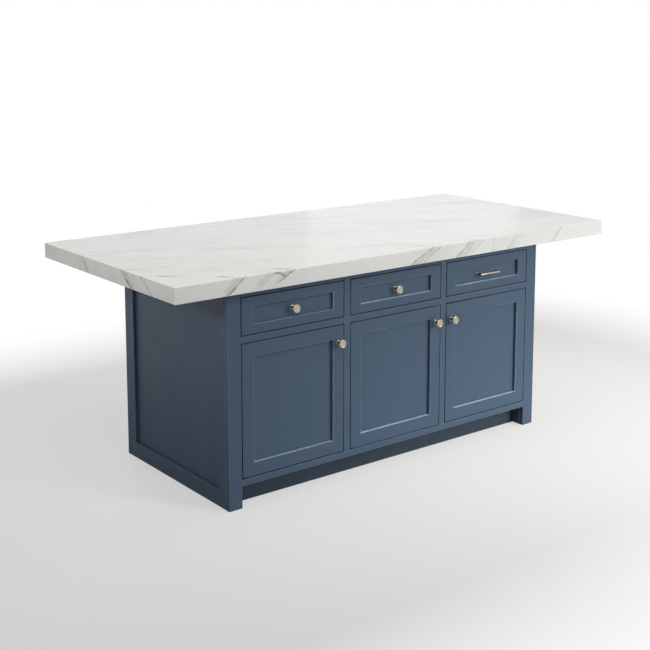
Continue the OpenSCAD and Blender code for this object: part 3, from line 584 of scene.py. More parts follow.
def brushed_paint(w, shader):
    """Brushed satin paint: strokes and joint hairlines; eased edges lighter, for sparse paint and as painted
    highlight; painted highlight on ledges; painted shade in gaps.
    """
    settings = bpy.context.scene.island_paint
    place = w.attribute("board_place", "Vector")
    in_gap = w.attribute("in_gap")
    zones = w.effect(
        frame_zones, place=place, clear=w.attribute("board_clear", "Vector"), joint_width=settings.joint)
    marks = w.effect(brush_marks, place=place, stile=zones["Stile"])
    smudge = w.effect(handling, place=place, size=0.12)["Smudge"]
    tone = (marks["Patches"] - 0.5) * 0.10 + (marks["Height"] - 0.5) * 0.06 + 1.0
    # The joints get a dark hairline, and the sides of the gaps get painted shade
    tone = tone * (zones["Joint"] * -0.45 + 1.0) * (in_gap * -settings.gap_dust + 1.0)
    paint = w.mixed(1.0, settings.colour, w.joined(tone, tone, tone), "MULTIPLY")
    # Lighter eased edges: partly sparse paint, partly painted highlight
    worn_and_lit = w.attribute("eased") * w.ranged(w.noise(place, 34.0, 3.0, 0.6), 0.3, 0.65, 0.35, 0.95)
    # Painted highlight on ledges that face up
    ledge_lit = w.attribute("ledge") * w.ranged(w.noise(place, 45.0, 3.0, 0.6), 0.3, 0.6, 0.6, 1.0)
    colour = w.mixed(ledge_lit, w.mixed(worn_and_lit, paint, settings.thin), settings.ledge)
    rough = smudge * 0.035 + in_gap * 0.4 + marks["Height"] * 0.06 + settings.roughness
    height = w.noise(place, 520.0, 1.0) * 0.25 + marks["Height"] - zones["Joint"] * 1.6
    coat(w, shader, colour, rough, height, settings.strokes)
    shader.inputs["Specular IOR Level"].default_value = 0.30


def melamine_board(w, shader):
    """White melamine board with a fine pearl grain."""
    settings = bpy.context.scene.island_timber
    place = w.here()
    smudge = w.effect(handling, place=place, size=0.2)["Smudge"]
    fleck = w.noise(place, 900.0)
    shade = w.maths("ADD", smudge * 0.04, fleck * 0.16, clamp=True)
    colour = w.mixed(shade, settings.board, darker(settings.board, 0.82))
    coat(w, shader, colour, smudge * 0.05 + 0.46, fleck, 0.00008)


def birch_coat(w, shader, axis, figure, seam=None):
    """Birch whose grain runs along an axis, with a dark seam where boards meet."""
    settings = bpy.context.scene.island_timber
    grain = w.effect(wood_grain, place=w.here(), axis=axis, normal=w.here("Normal"), figure=figure)
    face = w.mixed(grain["Line"], settings.birch, settings.birch_line)
    across = w.mixed(w.ranged(grain["Height"], 0.3, 0.7), settings.end_grain, settings.birch_line)
    colour = w.mixed(grain["End"], face, across)
    if seam is not None:
        colour = w.mixed(seam * 0.7, colour, darker(settings.end_grain, 0.4))
    coat(w, shader, colour, grain["Height"] * 0.14 + 0.38, grain["Height"], 0.00010)


def dovetailed_birch(w, shader):
    """Lacquered birch of the drawer boxes, with dovetails at the corners."""
    low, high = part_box("drawer_left_box")
    pitch = BOX_HEIGHT / TAILS_PER_CORNER
    corner = w.effect(
        dovetails, place=w.attribute("board_place", "Vector"), half_width=(high.x - low.x) / 2,
        half_length=(high.y - low.y) / 2, wall=BOX_WALL, pitch=pitch, tail=pitch * 0.45, flare=TAIL_FLARE)
    birch_coat(w, shader, w.mixed_vector(corner["Side"], (1, 0, 0), (0, 1, 0)), 7.0, corner["Line"])


def birch_sheet(w, shader):
    """Birch plywood seen on its face: drawer bottoms and packers."""
    birch_coat(w, shader, (0, 1, 0), 4.0)


def layered_plywood(w, shader):
    """Plywood of the worktop's build-up: figured face, and plies in layers on its edges."""
    settings = bpy.context.scene.island_timber
    place = w.here()
    normal = w.here("Normal")
    grain = w.effect(wood_grain, place=place, axis=(1, 0, 0), normal=normal, figure=3.0)
    face = w.mixed(grain["Line"], settings.birch, settings.birch_line)
    ply = w.maths("PINGPONG", w.parts(place)[2] + grain["Height"] * 0.0004, PLY)
    edge = w.mixed(w.ranged(ply / PLY, 0.42, 0.58), settings.end_grain, settings.birch)
    upright = abs(w.parts(normal)[2]) < 0.5
    coat(w, shader, w.mixed(upright, face, edge), grain["Height"] * 0.12 + 0.5, grain["Height"], 0.00012)


def plated_steel(w, shader):
    """Zinc-plated steel with faint rolling marks and spangle."""
    settings = bpy.context.scene.island_metal
    place = w.here()
    rolled = w.noise(w.vector("MULTIPLY", place, (900.0, 12.0, 900.0)), 1.0, 2.0, 0.6)
    smudge = w.effect(handling, place=place, size=0.03)["Smudge"]
    colour = w.mixed(w.ranged(rolled, 0.35, 0.7, 0.0, 0.5), settings.steel, darker(settings.steel, 0.72))
    coat(w, shader, colour, smudge * 0.06 + settings.steel_roughness, rolled, 0.00003)
    shader.inputs["Metallic"].default_value = 1.0


def satin_brass(w, shader):
    """Satin brass, with the fine rings that the turning and brushing leave."""
    settings = bpy.context.scene.island_metal
    radius, along, reached = w.parts(w.attribute("turned_place", "Vector"))
    rings = w.out("ShaderNodeTexNoise", {
        "W": radius + along, "Scale": 2600.0, "Detail": 2.0, "Roughness": 0.6}, noise_dimensions="1D")
    smudge = w.effect(handling, place=w.here(), size=0.012)["Smudge"]
    bright = w.mixed(w.ranged(rings, 0.35, 0.7, 0.0, 0.6), settings.brass, darker(settings.brass, 0.7))
    clean = w.maths("ADD", reached, smudge * 0.12, clamp=True)
    colour = w.mixed(clean, settings.tarnish, bright)
    coat(w, shader, colour, smudge * 0.04 + settings.brass_roughness, rings, 0.00002)
    shader.inputs["Metallic"].default_value = 1.0


FINISHES = {build.__name__: build for build in (
    polished_stone, brushed_paint, melamine_board, dovetailed_birch, birch_sheet, layered_plywood,
    plated_steel, satin_brass)}


def finish(name):
    """A finish, made the first time that it is asked for."""
    material = bpy.data.materials.get(name)
    if material is None:
        material, w, shader = new_finish(name)
        FINISHES[name](w, shader)
    return material


# ---------------------------------------------------------------- pieces


def solid(node):
    return frame["nodes"][node]


def whole_mesh(node, name):
    """A copy of a solid's mesh with its triangles joined and its flat faces made whole."""
    weld = 0.000004
    flat = math.radians(0.4)
    bm = bmesh.new()
    bm.from_mesh(solid(node).data)
    bmesh.ops.remove_doubles(bm, verts=bm.verts, dist=weld)
    bmesh.ops.dissolve_limit(bm, angle_limit=flat, verts=bm.verts, edges=bm.edges)
    bm.verts.index_update()
    points = [tuple(v.co) for v in bm.verts]
    faces = [[v.index for v in f.verts] for f in bm.faces]
    bm.free()
    mesh = bpy.data.meshes.new(name)
    mesh.from_pydata(points, [], faces)
    mesh.update()
    return mesh


def linked(name, data):
    """An object with this data, in the scene."""
    thing = bpy.data.objects.new(name, data)
    bpy.context.scene.collection.objects.link(thing)
    return thing


def smoothed(mesh, angle):
    """Smooths a mesh, apart from edges sharper than an angle in degrees."""
    mesh.polygons.foreach_set("use_smooth", [True] * len(mesh.polygons))
    mesh.set_sharp_from_angle(angle=math.radians(angle))
    return mesh


def write_vectors(mesh, name, vectors):
    """Gives each point of a mesh a vector that is read by name."""
    numbers = [number for vector in vectors for number in vector]
    mesh.attributes.new(name, "FLOAT_VECTOR", "POINT").data.foreach_set("vector", numbers)


def settle(piece, kind, *nodes, body=None):
    """Gives a finished piece its material, its slot and the body it rides on, in place of solids."""
    piece.data.materials.clear()
    piece.data.materials.append(finish(kind))
    if nodes:
        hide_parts(*nodes)
    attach(piece, body or BODY_OF[nodes[0]])
    return piece


def keep(kind, *nodes):
    """Leaves solids as they are and gives them a finish."""
    for node in nodes:
        solid(node).data.materials.clear()
        solid(node).data.materials.append(finish(kind))


def applied(piece):
    """Turns a piece's modifiers into its mesh."""
    graph = bpy.context.evaluated_depsgraph_get()
    mesh = bpy.data.meshes.new_from_object(piece.evaluated_get(graph))
    old = piece.data
    mesh.name = old.name
    piece.modifiers.clear()
    piece.data = mesh
    bpy.data.meshes.remove(old)
    return piece


def eased_piece(node, width, name, gap_side=None, dust=0.0, wear=1.0, shortest=0.006):
    """A solid's copy with its long outer edges eased, marked by attributes that the paint reads.

    gap_side tells, from a face, how much painted shade it gets in a narrow gap round a door or drawer; the
    next two arguments tell how much painted highlight the ledges get, and how much the eased edges are
    lightened, partly for sparse paint and partly as painted highlight.
    Edges shorter than shortest, and those that turn less than 40 degrees, stay sharp."""
    mesh = whole_mesh(node, name)
    bm = bmesh.new()
    bm.from_mesh(mesh)
    if node.startswith("face_stile"):
        # The gaps beside a stile end where its foot begins
        foot = (0, 0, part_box("face_rail_bottom")[0].z)
        everything = bm.verts[:] + bm.edges[:] + bm.faces[:]
        bmesh.ops.bisect_plane(bm, geom=everything, plane_co=foot, plane_no=(0, 0, 1))
    weight = bm.edges.layers.float.new("bevel_weight_edge")
    for edge in bm.edges:
        if len(edge.link_faces) == 2 and edge.calc_length() > shortest:
            edge[weight] = float(edge.is_convex and edge.calc_face_angle() > math.radians(40))
    bm.to_mesh(mesh)
    bm.free()
    piece = linked(name, mesh)
    mesh.materials.append(None)
    mesh.materials.append(None)
    smoothed(mesh, 30)
    bevel = piece.modifiers.new("Eased edges", "BEVEL")
    bevel.width = width
    bevel.segments = bpy.context.scene.island_edges.segments
    bevel.limit_method = "WEIGHT"
    bevel.harden_normals = True
    bevel.material = 1
    applied(piece)
    mesh = piece.data
    titles = ("eased", "in_gap", "ledge")
    for title in titles:
        mesh.attributes.new(title, "FLOAT", "CORNER")
    marks, gaps, ledges = (mesh.attributes[title].data for title in titles)
    for face in mesh.polygons:
        eased = face.material_index == 1
        in_gap = float(gap_side(face)) if gap_side else 0.0
        for corner in face.loop_indices:
            # Edges along a gap are not lightened, and they get half of the gap's painted shade
            marks[corner].value = wear if eased and not in_gap else 0.0
            gaps[corner].value = 0.5 * in_gap if eased else in_gap
            # Ledges that face up, outside the gaps, get painted highlight
            ledges[corner].value = dust if face.normal.z > 0.3 and not in_gap else 0.0
        face.material_index = 0
    return piece


def mark_board(piece, across_axis, middle, clear):
    """Writes where each point lies on its frame, and the clear opening of that frame."""
    places = [vertex.co - middle for vertex in piece.data.vertices]
    places = [(place[across_axis], place.z, place[1 - across_axis]) for place in places]
    write_vectors(piece.data, "board_place", places)
    write_vectors(piece.data, "board_clear", [clear] * len(places))


# Clear openings that make the strokes of a whole board run up and down, or along it
UPRIGHT = (-50.0, -50.0, 1000.0)
LEVEL = (50.0, -50.0, 1000.0)

# How deep the painted shade is, from 0 to 1, on the fixed and on the moving side of a gap and in the toe
# space
FIXED_SIDE = 0.85
MOVING_SIDE = 0.6
TOE_SPACE = 0.62

# How much the eased edges at the island's ends are lightened, partly for rubbed paint and partly as painted
# highlight, beside 1 for the others; less there, where the light picks them out less
END_WEAR_AND_HIGHLIGHT = 0.35


def round_openings(face):
    """How much painted shade a face of the face frame gets, where it lies in the gaps of its openings."""
    inside = abs(face.center.x) < abs(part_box("face_stile_left")[0].x) - 0.002
    above_foot = face.center.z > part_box("face_rail_bottom")[0].z - 0.001
    return FIXED_SIDE if inside and above_foot and abs(face.normal.y) < 0.95 else 0.0


def outer_sides(node):
    """A function that tells how much painted shade a face of a door or drawer front gets, where it lies in
    the gap round it.
    """
    low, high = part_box(node)

    def in_gap(face):
        middle = face.center
        nearest = min(middle.x - low.x, high.x - middle.x, middle.z - low.z, high.z - middle.z)
        return MOVING_SIDE if nearest < 0.0015 else 0.0

    return in_gap


def painted_piece(node, across_axis, middle, clear, **easing):
    """A painted copy of a solid, marked for the strokes and joints of its paint."""
    width = bpy.context.scene.island_edges.painted
    piece = eased_piece(node, width, node + "_painted", shortest=0.025, **easing)
    mark_board(piece, across_axis, middle, clear)
    return settle(piece, "brushed_paint", node)


def painted_board(node, clear, across_axis=0, **easing):
    """A painted board with its strokes up and down or along."""
    low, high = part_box(node)
    # Moved, so that the strokes of a board differ from those of the frame round it
    middle = (low + high) / 2 + Vector((0.37, 0.21, 0.13))
    return painted_piece(node, across_axis, middle, clear, **easing)


def painted_frame(node, first_stile, last_stile, rail, across_axis=0, panels=1, inner_stile=0.0, **easing):
    """A painted frame of stiles and rails round one or more panels, with its joints marked."""
    low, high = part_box(node)
    first = low[across_axis] + first_stile
    last = high[across_axis] - last_stile
    clear_width = (last - first - (panels - 1) * inner_stile) / panels
    middle = (low + high) / 2
    middle[across_axis] = (first + last) / 2
    pitch = clear_width + inner_stile if panels > 1 else 100.0
    clear = (clear_width / 2, (high.z - low.z) / 2 - rail, pitch)
    return painted_piece(node, across_axis, middle, clear, **easing)


def painted_front(name, rail, strokes, dust):
    """The frame and the flat panel of a door or a drawer front."""
    frame_node = name + "_frame"
    # The frame gets painted shade on its sides in the gap, and painted highlight on its ledges
    painted_frame(frame_node, DOOR_STILE, DOOR_STILE, rail, gap_side=outer_sides(frame_node), dust=dust)
    painted_board(name + "_panel", strokes)


def plain_board(node, kind):
    """An unpainted board with small eased edges."""
    piece = eased_piece(node, bpy.context.scene.island_edges.boards, node + "_boards")
    return settle(piece, kind, node)


def smooth_piece(node, kind, name):
    """A solid's copy with smooth curved faces."""
    return settle(linked(name, smoothed(whole_mesh(node, name), 30)), kind, node)


# ---- turned pieces ----


def arc(middle, radius, start, end, steps):
    """Points on an arc, from one angle to another in degrees."""
    return [(middle[0] + radius * math.cos(math.radians(start + (end - start) * k / steps)),
             middle[1] + radius * math.sin(math.radians(start + (end - start) * k / steps)))
            for k in range(steps + 1)]


def turned(bm, profile, origin, along, aside, segments, reached=lambda radius, distance: 1.0):
    """Turns a profile of (radius, distance) about an axis, and notes each point's radius and distance.

    reached tells how well hands and cloths reach a point and keep it bright, from 0 to 1."""
    layers = bm.verts.layers.float_vector
    place = layers.get("turned_place") or layers.new("turned_place")
    third = along.cross(aside)
    rings = []
    for radius, distance in profile:
        count = 1 if radius < 1e-7 else segments
        ring = []
        for k in range(count):
            turn = 2 * math.pi * k / segments
            vert = bm.verts.new(origin + along * distance
                                + (aside * math.cos(turn) + third * math.sin(turn)) * radius)
            vert[place] = (radius, distance, reached(radius, distance))
            ring.append(vert)
        rings.append(ring)
    for near, far in zip(rings, rings[1:]):
        for k in range(segments):
            corners = [near[k % len(near)], near[(k + 1) % len(near)],
                       far[(k + 1) % len(far)], far[k % len(far)]]
            # A ring of one point on the axis gives triangles
            corners = list(dict.fromkeys(corners))
            if len(corners) > 2:
                bm.faces.new(corners)


def turned_piece(node, build):
    """A smooth brass piece that build turns, in place of a solid."""
    name = node + "_turned"
    bm = bmesh.new()
    build(bm)
    bmesh.ops.recalc_face_normals(bm, faces=bm.faces)
    mesh = bpy.data.meshes.new(name)
    bm.to_mesh(mesh)
    bm.free()
    return settle(linked(name, smoothed(mesh, 34)), "satin_brass", node)


def in_metres(profile):
    """A profile that is given in millimetres, in metres."""
    return [(radius * 0.001, distance * 0.001) for radius, distance in profile]


OUT = Vector((0, -1, 0))
SIDE = Vector((1, 0, 0))


def knob_profile():
    """Stepped foot with two beads, waisted neck, and a head with a rolled rim round a shallow dish."""
    profile = [(0, 0.01), (9.1, 0.01)]
    profile += arc((9.2, 0.8), 0.8, -80, 70, 6) + arc((9.2, 2.2 - 0.62), 0.6, -60, 85, 5)
    profile += [(7.5, 2.3), (7.4, 3.5)] + arc((7.0, 3.5), 0.4, 0, 80, 3)
    profile += [(5.8, 4.3), (5.3, 5.4), (4.95, 8.0), (4.9, 11.5), (5.15, 15.0), (5.6, 17.6), (6.5, 20.2),
                (8.3, 22.2), (10.8, 23.2), (13.6, 24.1), (15.4, 25.1), (16.5, 26.4), (16.95, 27.8)]
    profile += arc((15.15, 30.15), 1.8, -5, 178, 14)
    profile += [(12.9, 30.75), (8.5, 30.95), (3.5, 31.1), (0, 31.15)]
    return in_metres(profile)


def turned_screw(bm, foot, back):
    """Machine screw: domed head behind the front, and a shank that runs into the handle's foot."""
    tip = (back + SCREW_IN_HANDLE) * 1000
    profile = [(0, -2.4), (1.6, -2.38), (2.9, -2.1), (3.7, -1.4), (3.9, -0.7),
               (3.9, -0.1), (2.0, 0.0), (1.95, tip), (0, tip)]
    turned(bm, in_metres(profile), foot - OUT * back, OUT, SIDE, 40)


def knob(node):
    """A turned brass knob with its screw, in place of the knob's solid."""
    low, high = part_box(node)
    foot = Vector(((low.x + high.x) / 2, low.y + KNOB_OUT, (low.z + high.z) / 2))
    back = high.y - SCREW_HEAD - foot.y

    def build(bm):
        turned(bm, knob_profile(), foot, OUT, SIDE, 96,
               reached=lambda radius, distance: float(distance > 0.0225 or radius > 0.0092))
        turned_screw(bm, foot, back)

    return turned_piece(node, build)


def bar_pull(node):
    """The brass bar pull on its two posts, with their screws, in place of the pull's solid."""
    low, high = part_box(node)
    middle = (low + high) / 2
    length = high.x - low.x
    foot_y = low.y + PULL_OUT
    back = high.y - SCREW_HEAD - foot_y
    bar = in_metres([(0, 0), (2.6, 0.12), (3.8, 0.5), (4.5, 1.15), (4.88, 2.0), (5.0, 3.0)])
    bar += [(radius, length - distance) for radius, distance in reversed(bar)]
    post = in_metres([(0, 0.01), (6.4, 0.01), (6.6, 0.35), (6.5, 1.5), (6.1, 1.95), (5.0, 2.15), (4.35, 2.6),
                      (4.2, 3.4), (4.2, 26.4), (0, 26.5)])

    def build(bm):
        turned(bm, bar, Vector((low.x, low.y + BAR_RADIUS, middle.z)), SIDE, OUT, 56)
        for side in (-1, 1):
            foot = Vector((middle.x + side * PULL_PITCH / 2, foot_y, middle.z))
            turned(bm, post, foot, OUT, SIDE, 48, reached=lambda radius, distance: min(distance / 0.03, 1.0))
            turned_screw(bm, foot, back)

    return turned_piece(node, build)


# ---- rows of screws, made by Geometry Nodes ----

# How far the rows lie from the ends and sides of what they hold, in metres
RUNNER_INSET = 0.035
BAR_START = 0.05
BAR_INSET = 0.03
BAR_HALF_WIDTH = 0.025
STRETCHER_INSET = 0.04


def screw_rows_tree():
    """Sets cross-recessed pan-head screws at even steps along every edge of a mesh.

    The attribute "head_faces" says which way the heads of a row look."""
    tree = bpy.data.node_groups.new("Screw rows", "GeometryNodeTree")
    for label, kind in (("Geometry", "Geometry"), ("Screws Per Row", "Int"), ("Head Radius", "Float"),
                        ("Head Height", "Float"), ("Steel", "Material")):
        tree.interface.new_socket(name=label, in_out="INPUT", socket_type="NodeSocket" + kind)
    tree.interface.new_socket(name="Geometry", in_out="OUTPUT", socket_type="NodeSocketGeometry")
    w = Wiring(tree)
    given = w.outputs("NodeGroupInput")
    radius, height = given["Head Radius"], given["Head Height"]
    rows = w.out("GeometryNodeMeshToCurve", {"Mesh": given["Geometry"]})
    points = w.out("GeometryNodeCurveToPoints", {
        "Curve": rows, "Count": given["Screws Per Row"]}, mode="COUNT")

    def cone(top_radius):
        return w.out("GeometryNodeMeshCone", {
            "Vertices": 24, "Radius Top": top_radius, "Radius Bottom": radius, "Depth": height * 0.5})

    def raised(mesh, distance):
        move = w.joined(0.0, 0.0, distance)
        return w.out("GeometryNodeTransform", {"Geometry": mesh, "Translation": move})

    # The head: a low drum under a cone, with a cross cut into its top
    block = w.out("GeometryNodeMeshBoolean", {
        "Mesh 2": [cone(radius), raised(cone(radius * 0.66), height * 0.5)]}, operation="UNION")
    long_side, short_side = radius * 1.05, radius * 0.22
    cross = [raised(w.out("GeometryNodeMeshCube", {"Size": w.joined(*sides, height)}), height * 1.05)
             for sides in ((long_side, short_side), (short_side, long_side))]
    head = w.out("GeometryNodeMeshBoolean", {"Mesh 1": block, "Mesh 2": cross}, operation="DIFFERENCE")
    faces = w.out("GeometryNodeInputNamedAttribute", {"Name": "head_faces"}, data_type="FLOAT_VECTOR")
    turn = w.out("FunctionNodeAlignRotationToVector", {"Vector": faces}, axis="Z")
    heads = w.out("GeometryNodeInstanceOnPoints", {"Points": points, "Instance": head, "Rotation": turn})
    real = w.out("GeometryNodeRealizeInstances", {"Geometry": heads})
    w.node("NodeGroupOutput", {
        "Geometry": w.out("GeometryNodeSetMaterial", {"Geometry": real, "Material": given["Steel"]})})
    return tree


def screw_rows(name, rows, per_row, body):
    """Makes rows of screws. Each row is (first point, last point, the way the heads look)."""
    settings = bpy.context.scene.island_screws
    mesh = bpy.data.meshes.new(name)
    points = [point for row in rows for point in row[:2]]
    mesh.from_pydata(points, [(2 * k, 2 * k + 1) for k in range(len(rows))], [])
    write_vectors(mesh, "head_faces", [row[2] for row in rows for _ in range(2)])
    piece = linked(name, mesh)
    tree = bpy.data.node_groups.get("Screw rows") or screw_rows_tree()
    modifier = piece.modifiers.new("Screw rows", "NODES")
    modifier.node_group = tree
    values = {"Screws Per Row": per_row, "Head Radius": settings.head_radius,
              "Head Height": settings.head_height, "Steel": finish("plated_steel")}
    for item in tree.interface.items_tree:
        if item.name in values:
            modifier[item.identifier] = values[item.name]
    applied(piece)
    if not len(piece.data.polygons):
        raise RuntimeError(name + ": the rows came out empty")
    return settle(piece, "plated_steel", body=body)


# ---------------------------------------------------------------- operators


class ISLAND_OT_worktop(bpy.types.Operator):
    """Polished veined stone, with the plywood and steel bars under it"""

    bl_idname = "island.worktop"
    bl_label = "Worktop"

    def execute(self, context):
        smooth_piece("worktop", "polished_stone", "worktop_polished")
        keep("layered_plywood", "worktop_substrate")
        keep("plated_steel", "overhang_bars")
        return {"FINISHED"}


class ISLAND_OT_face_frame(bpy.types.Operator):
    """Stiles, mullions and rails of the front, which frame the doors and drawers"""

    bl_idname = "island.face_frame"
    bl_label = "Face frame"

    def execute(self, context):
        painted_board("face_stile_left", UPRIGHT, gap_side=round_openings, wear=END_WEAR_AND_HIGHLIGHT)
        for node in ("face_stile_right", "face_mullions"):
            painted_board(node, UPRIGHT, gap_side=round_openings)
        for node in ("face_rail_top", "face_rail_bottom", "face_mid_rails"):
            painted_board(node, LEVEL, gap_side=round_openings)
        # The toe kick gets painted shade all over, for the shade of the toe space
        painted_board("toe_kick", LEVEL, gap_side=lambda face: TOE_SPACE)
        painted_board("foot_returns", UPRIGHT, across_axis=1)
        return {"FINISHED"}


class ISLAND_OT_end_and_back_frames(bpy.types.Operator):
    """Framed panels of both ends and of the back"""

    bl_idname = "island.end_and_back_frames"
    bl_label = "End and back frames"

    def execute(self, context):
        for node in ("end_frame_left", "end_frame_right"):
            painted_frame(node, END_FRONT_STILE, END_STILE, END_RAIL, across_axis=1, wear=END_WEAR_AND_HIGHLIGHT)
        painted_board("end_panels", UPRIGHT, across_axis=1)
        painted_frame(
            "back_frame", END_FRONT_STILE, END_FRONT_STILE, END_RAIL, panels=3, inner_stile=END_STILE)
        painted_board("back_panels", UPRIGHT)
        return {"FINISHED"}


class ISLAND_OT_doors(bpy.types.Operator):
    """Frames and flat panels of the three doors"""

    bl_idname = "island.doors"
    bl_label = "Doors"

    def execute(self, context):
        # Painted highlight on each door's ledges, more on the right where the light falls
        for bay, dust in zip(BAYS, context.scene.island_paint.door_dust):
            painted_front(f"door_{bay}", DOOR_RAIL, UPRIGHT, dust)
        return {"FINISHED"}


class ISLAND_OT_drawer_fronts(bpy.types.Operator):
    """Frames and flat panels of the three drawer fronts"""

    bl_idname = "island.drawer_fronts"
    bl_label = "Drawer fronts"

    def execute(self, context):
        # Painted highlight on each drawer front's ledges, more on the right where the light falls
        for bay, dust in zip(BAYS, context.scene.island_paint.drawer_dust):
            painted_front(f"drawer_{bay}", DRAWER_RAIL, LEVEL, dust)
        return {"FINISHED"}


class ISLAND_OT_drawer_boxes(bpy.types.Operator):
    """Dovetailed birch boxes and their bottoms"""

    bl_idname = "island.drawer_boxes"
    bl_label = "Drawer boxes"

    def execute(self, context):
        for bay in BAYS:
            node = f"drawer_{bay}_box"
            piece = eased_piece(node, context.scene.island_edges.boards, node + "_dovetailed")
            low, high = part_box(node)
            middle = Vector(((low.x + high.x) / 2, (low.y + high.y) / 2, low.z))
            write_vectors(piece.data, "board_place", [vertex.co - middle for vertex in piece.data.vertices])
            settle(piece, "dovetailed_birch", node)
            keep("birch_sheet", f"drawer_{bay}_bottom")
        return {"FINISHED"}


class ISLAND_OT_carcasses(bpy.types.Operator):
    """White carcass boards and shelves, their backs, bolts and pegs, and the packers at the ends"""

    bl_idname = "island.carcasses"
    bl_label = "Carcasses"

    def execute(self, context):
        for node in ("carcass_left_sides", "carcass_right_sides", "carcass_floors", "carcass_stretchers",
                     "shelves"):
            plain_board(node, "melamine_board")
        keep("melamine_board", "carcass_backs")
        keep("plated_steel", "carcass_bolts", "shelf_pegs")
        keep("birch_sheet", "end_packers")
        return {"FINISHED"}


class ISLAND_OT_hardware(bpy.types.Operator):
    """Runners and concealed hinges"""

    bl_idname = "island.hardware"
    bl_label = "Runners and hinges"

    def execute(self, context):
        keep("plated_steel", "runner_rails", "hinge_arms")
        for bay in BAYS:
            keep("plated_steel", f"drawer_{bay}_slides", f"runner_{bay}_middles", f"door_{bay}_hinge_cups")
        return {"FINISHED"}


class ISLAND_OT_handles(bpy.types.Operator):
    """Turned brass knobs and the bar pull"""

    bl_idname = "island.handles"
    bl_label = "Handles"

    def execute(self, context):
        for node in ("drawer_left_knob", "drawer_middle_knob", "door_left_knob", "door_middle_knob",
                     "door_right_knob"):
            knob(node)
        bar_pull("drawer_right_pull")
        return {"FINISHED"}


class ISLAND_OT_screws(bpy.types.Operator):
    """Rows of small screws: runners to boxes, steel bars to the build-up, stretchers to the worktop"""

    bl_idname = "island.screws"
    bl_label = "Rows of screws"

    def execute(self, context):
        settings = context.scene.island_screws
        # The rows lie a quarter of a head's height clear of the surface
        stand = settings.head_height * 0.25
        for bay in BAYS:
            low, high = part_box(f"drawer_{bay}_slides")
            height = (low.z + high.z) / 2
            rows = []
            box_low, box_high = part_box(f"drawer_{bay}_box")
            for side, box_side in ((-1, box_low.x), (1, box_high.x)):
                web = box_side + side * (RUNNER_SHEET + stand)
                first = (web, low.y + RUNNER_INSET, height)
                rows.append((first, (web, high.y - RUNNER_INSET, height), (side, 0, 0)))
            body = BODY_OF[f"drawer_{bay}_slides"]
            screw_rows(f"drawer_{bay}_runner_screws", rows, settings.per_runner, body)
        low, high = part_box("overhang_bars")
        end_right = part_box("end_frame_right")[1].x
        middle_y = (low.y + high.y) / 2
        half_y = (high.y - low.y) / 2 - BAR_HALF_WIDTH
        rows = []
        for y in (middle_y - half_y, middle_y, middle_y + half_y):
            first = (end_right + BAR_START, y, low.z - stand)
            rows.append((first, (high.x - BAR_INSET, y, low.z - stand), (0, 0, -1)))
        screw_rows("overhang_bar_screws", rows, settings.per_bar, BODY_OF["overhang_bars"])
        low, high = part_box("carcass_stretchers")
        rows = []
        for bay in BAYS:
            box_low, box_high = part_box(f"drawer_{bay}_box")
            for y in (low.y + STRETCHER_INSET, high.y - STRETCHER_INSET):
                first = (box_low.x + STRETCHER_INSET, y, low.z - stand)
                rows.append((first, (box_high.x - STRETCHER_INSET, y, low.z - stand), (0, 0, -1)))
        screw_rows("stretcher_screws", rows, settings.per_stretcher, BODY_OF["carcass_stretchers"])
        return {"FINISHED"}


# Each softbox: the setting of its power, place, target, width, height, colour and spread in degrees.
# The spread is less than 180 with a grid on.
SOFTBOXES = {
    "key_softbox": ("key", (2.8, -5.2, 2.1), (1.0, -0.5, -0.9), 2.4, 1.8, (1.0, 0.985, 0.96), 50),
    "overhead_softbox": ("overhead", (1.05, -0.6, 2.9), (0.95, 0.0, 0.9), 2.0, 1.2, (1.0, 1.0, 1.0), 180),
    "front_softbox": ("front", (-1.3, -2.3, 2.7), (-0.9, -0.4, 1.2), 1.8, 1.2, (1.0, 0.99, 0.97), 75),
    "fill_softbox": ("fill", (-4.1, -0.4, 2.2), (-1.1, -0.1, 1.65), 1.6, 0.7, (1.0, 0.965, 0.93), 54),
    "back_softbox": ("back", (0.3, 3.6, 3.2), (0.0, 0.5, -0.2), 1.8, 1.0, (1.0, 1.0, 1.0), 60),
    "window_panel": ("window", (2.94, 2.78, 1.75), (2.33, 1.99, 1.75), 1.66, 1.7, (1.0, 1.0, 1.0), 180)}

# The camera, fitted to the straight edges in the photograph: its place in metres, how far it looks
# down and its heading in radians, and its shift as a share of the picture's width
CAMERA_PLACE = (-3.2752, -4.1533, 1.8703)
CAMERA_DOWN = 0.149
CAMERA_HEADING = -0.657
CAMERA_SHIFT = -0.2

# The floor lies just under the feet, and its shadow fades out over these distances from the island
FLOOR_HALF_SIZE = 16
FLOOR_DROP = 0.0004
SHADOW_FADES = (0.05, 1.9)


def soft_box(name, power, place, target, width, height, colour, spread):
    """A rectangular light that looks at a point and that the camera doesn't see."""
    data = bpy.data.lights.new(name, "AREA")
    data.shape = "RECTANGLE"
    data.size = width
    data.size_y = height
    data.energy = power
    data.color = colour
    data.spread = math.radians(spread)
    light = linked(name, data)
    light.location = place
    light.rotation_euler = (Vector(target) - Vector(place)).to_track_quat("-Z", "Y").to_euler()
    light.visible_camera = False


def white_rays(w, path):
    """1 for the rays that should find a white background: the camera's, reflected or let through."""
    seen = w.maths("MAXIMUM", path["Is Camera Ray"], path["Is Glossy Ray"])
    return w.maths("MAXIMUM", seen, path["Is Transmission Ray"])


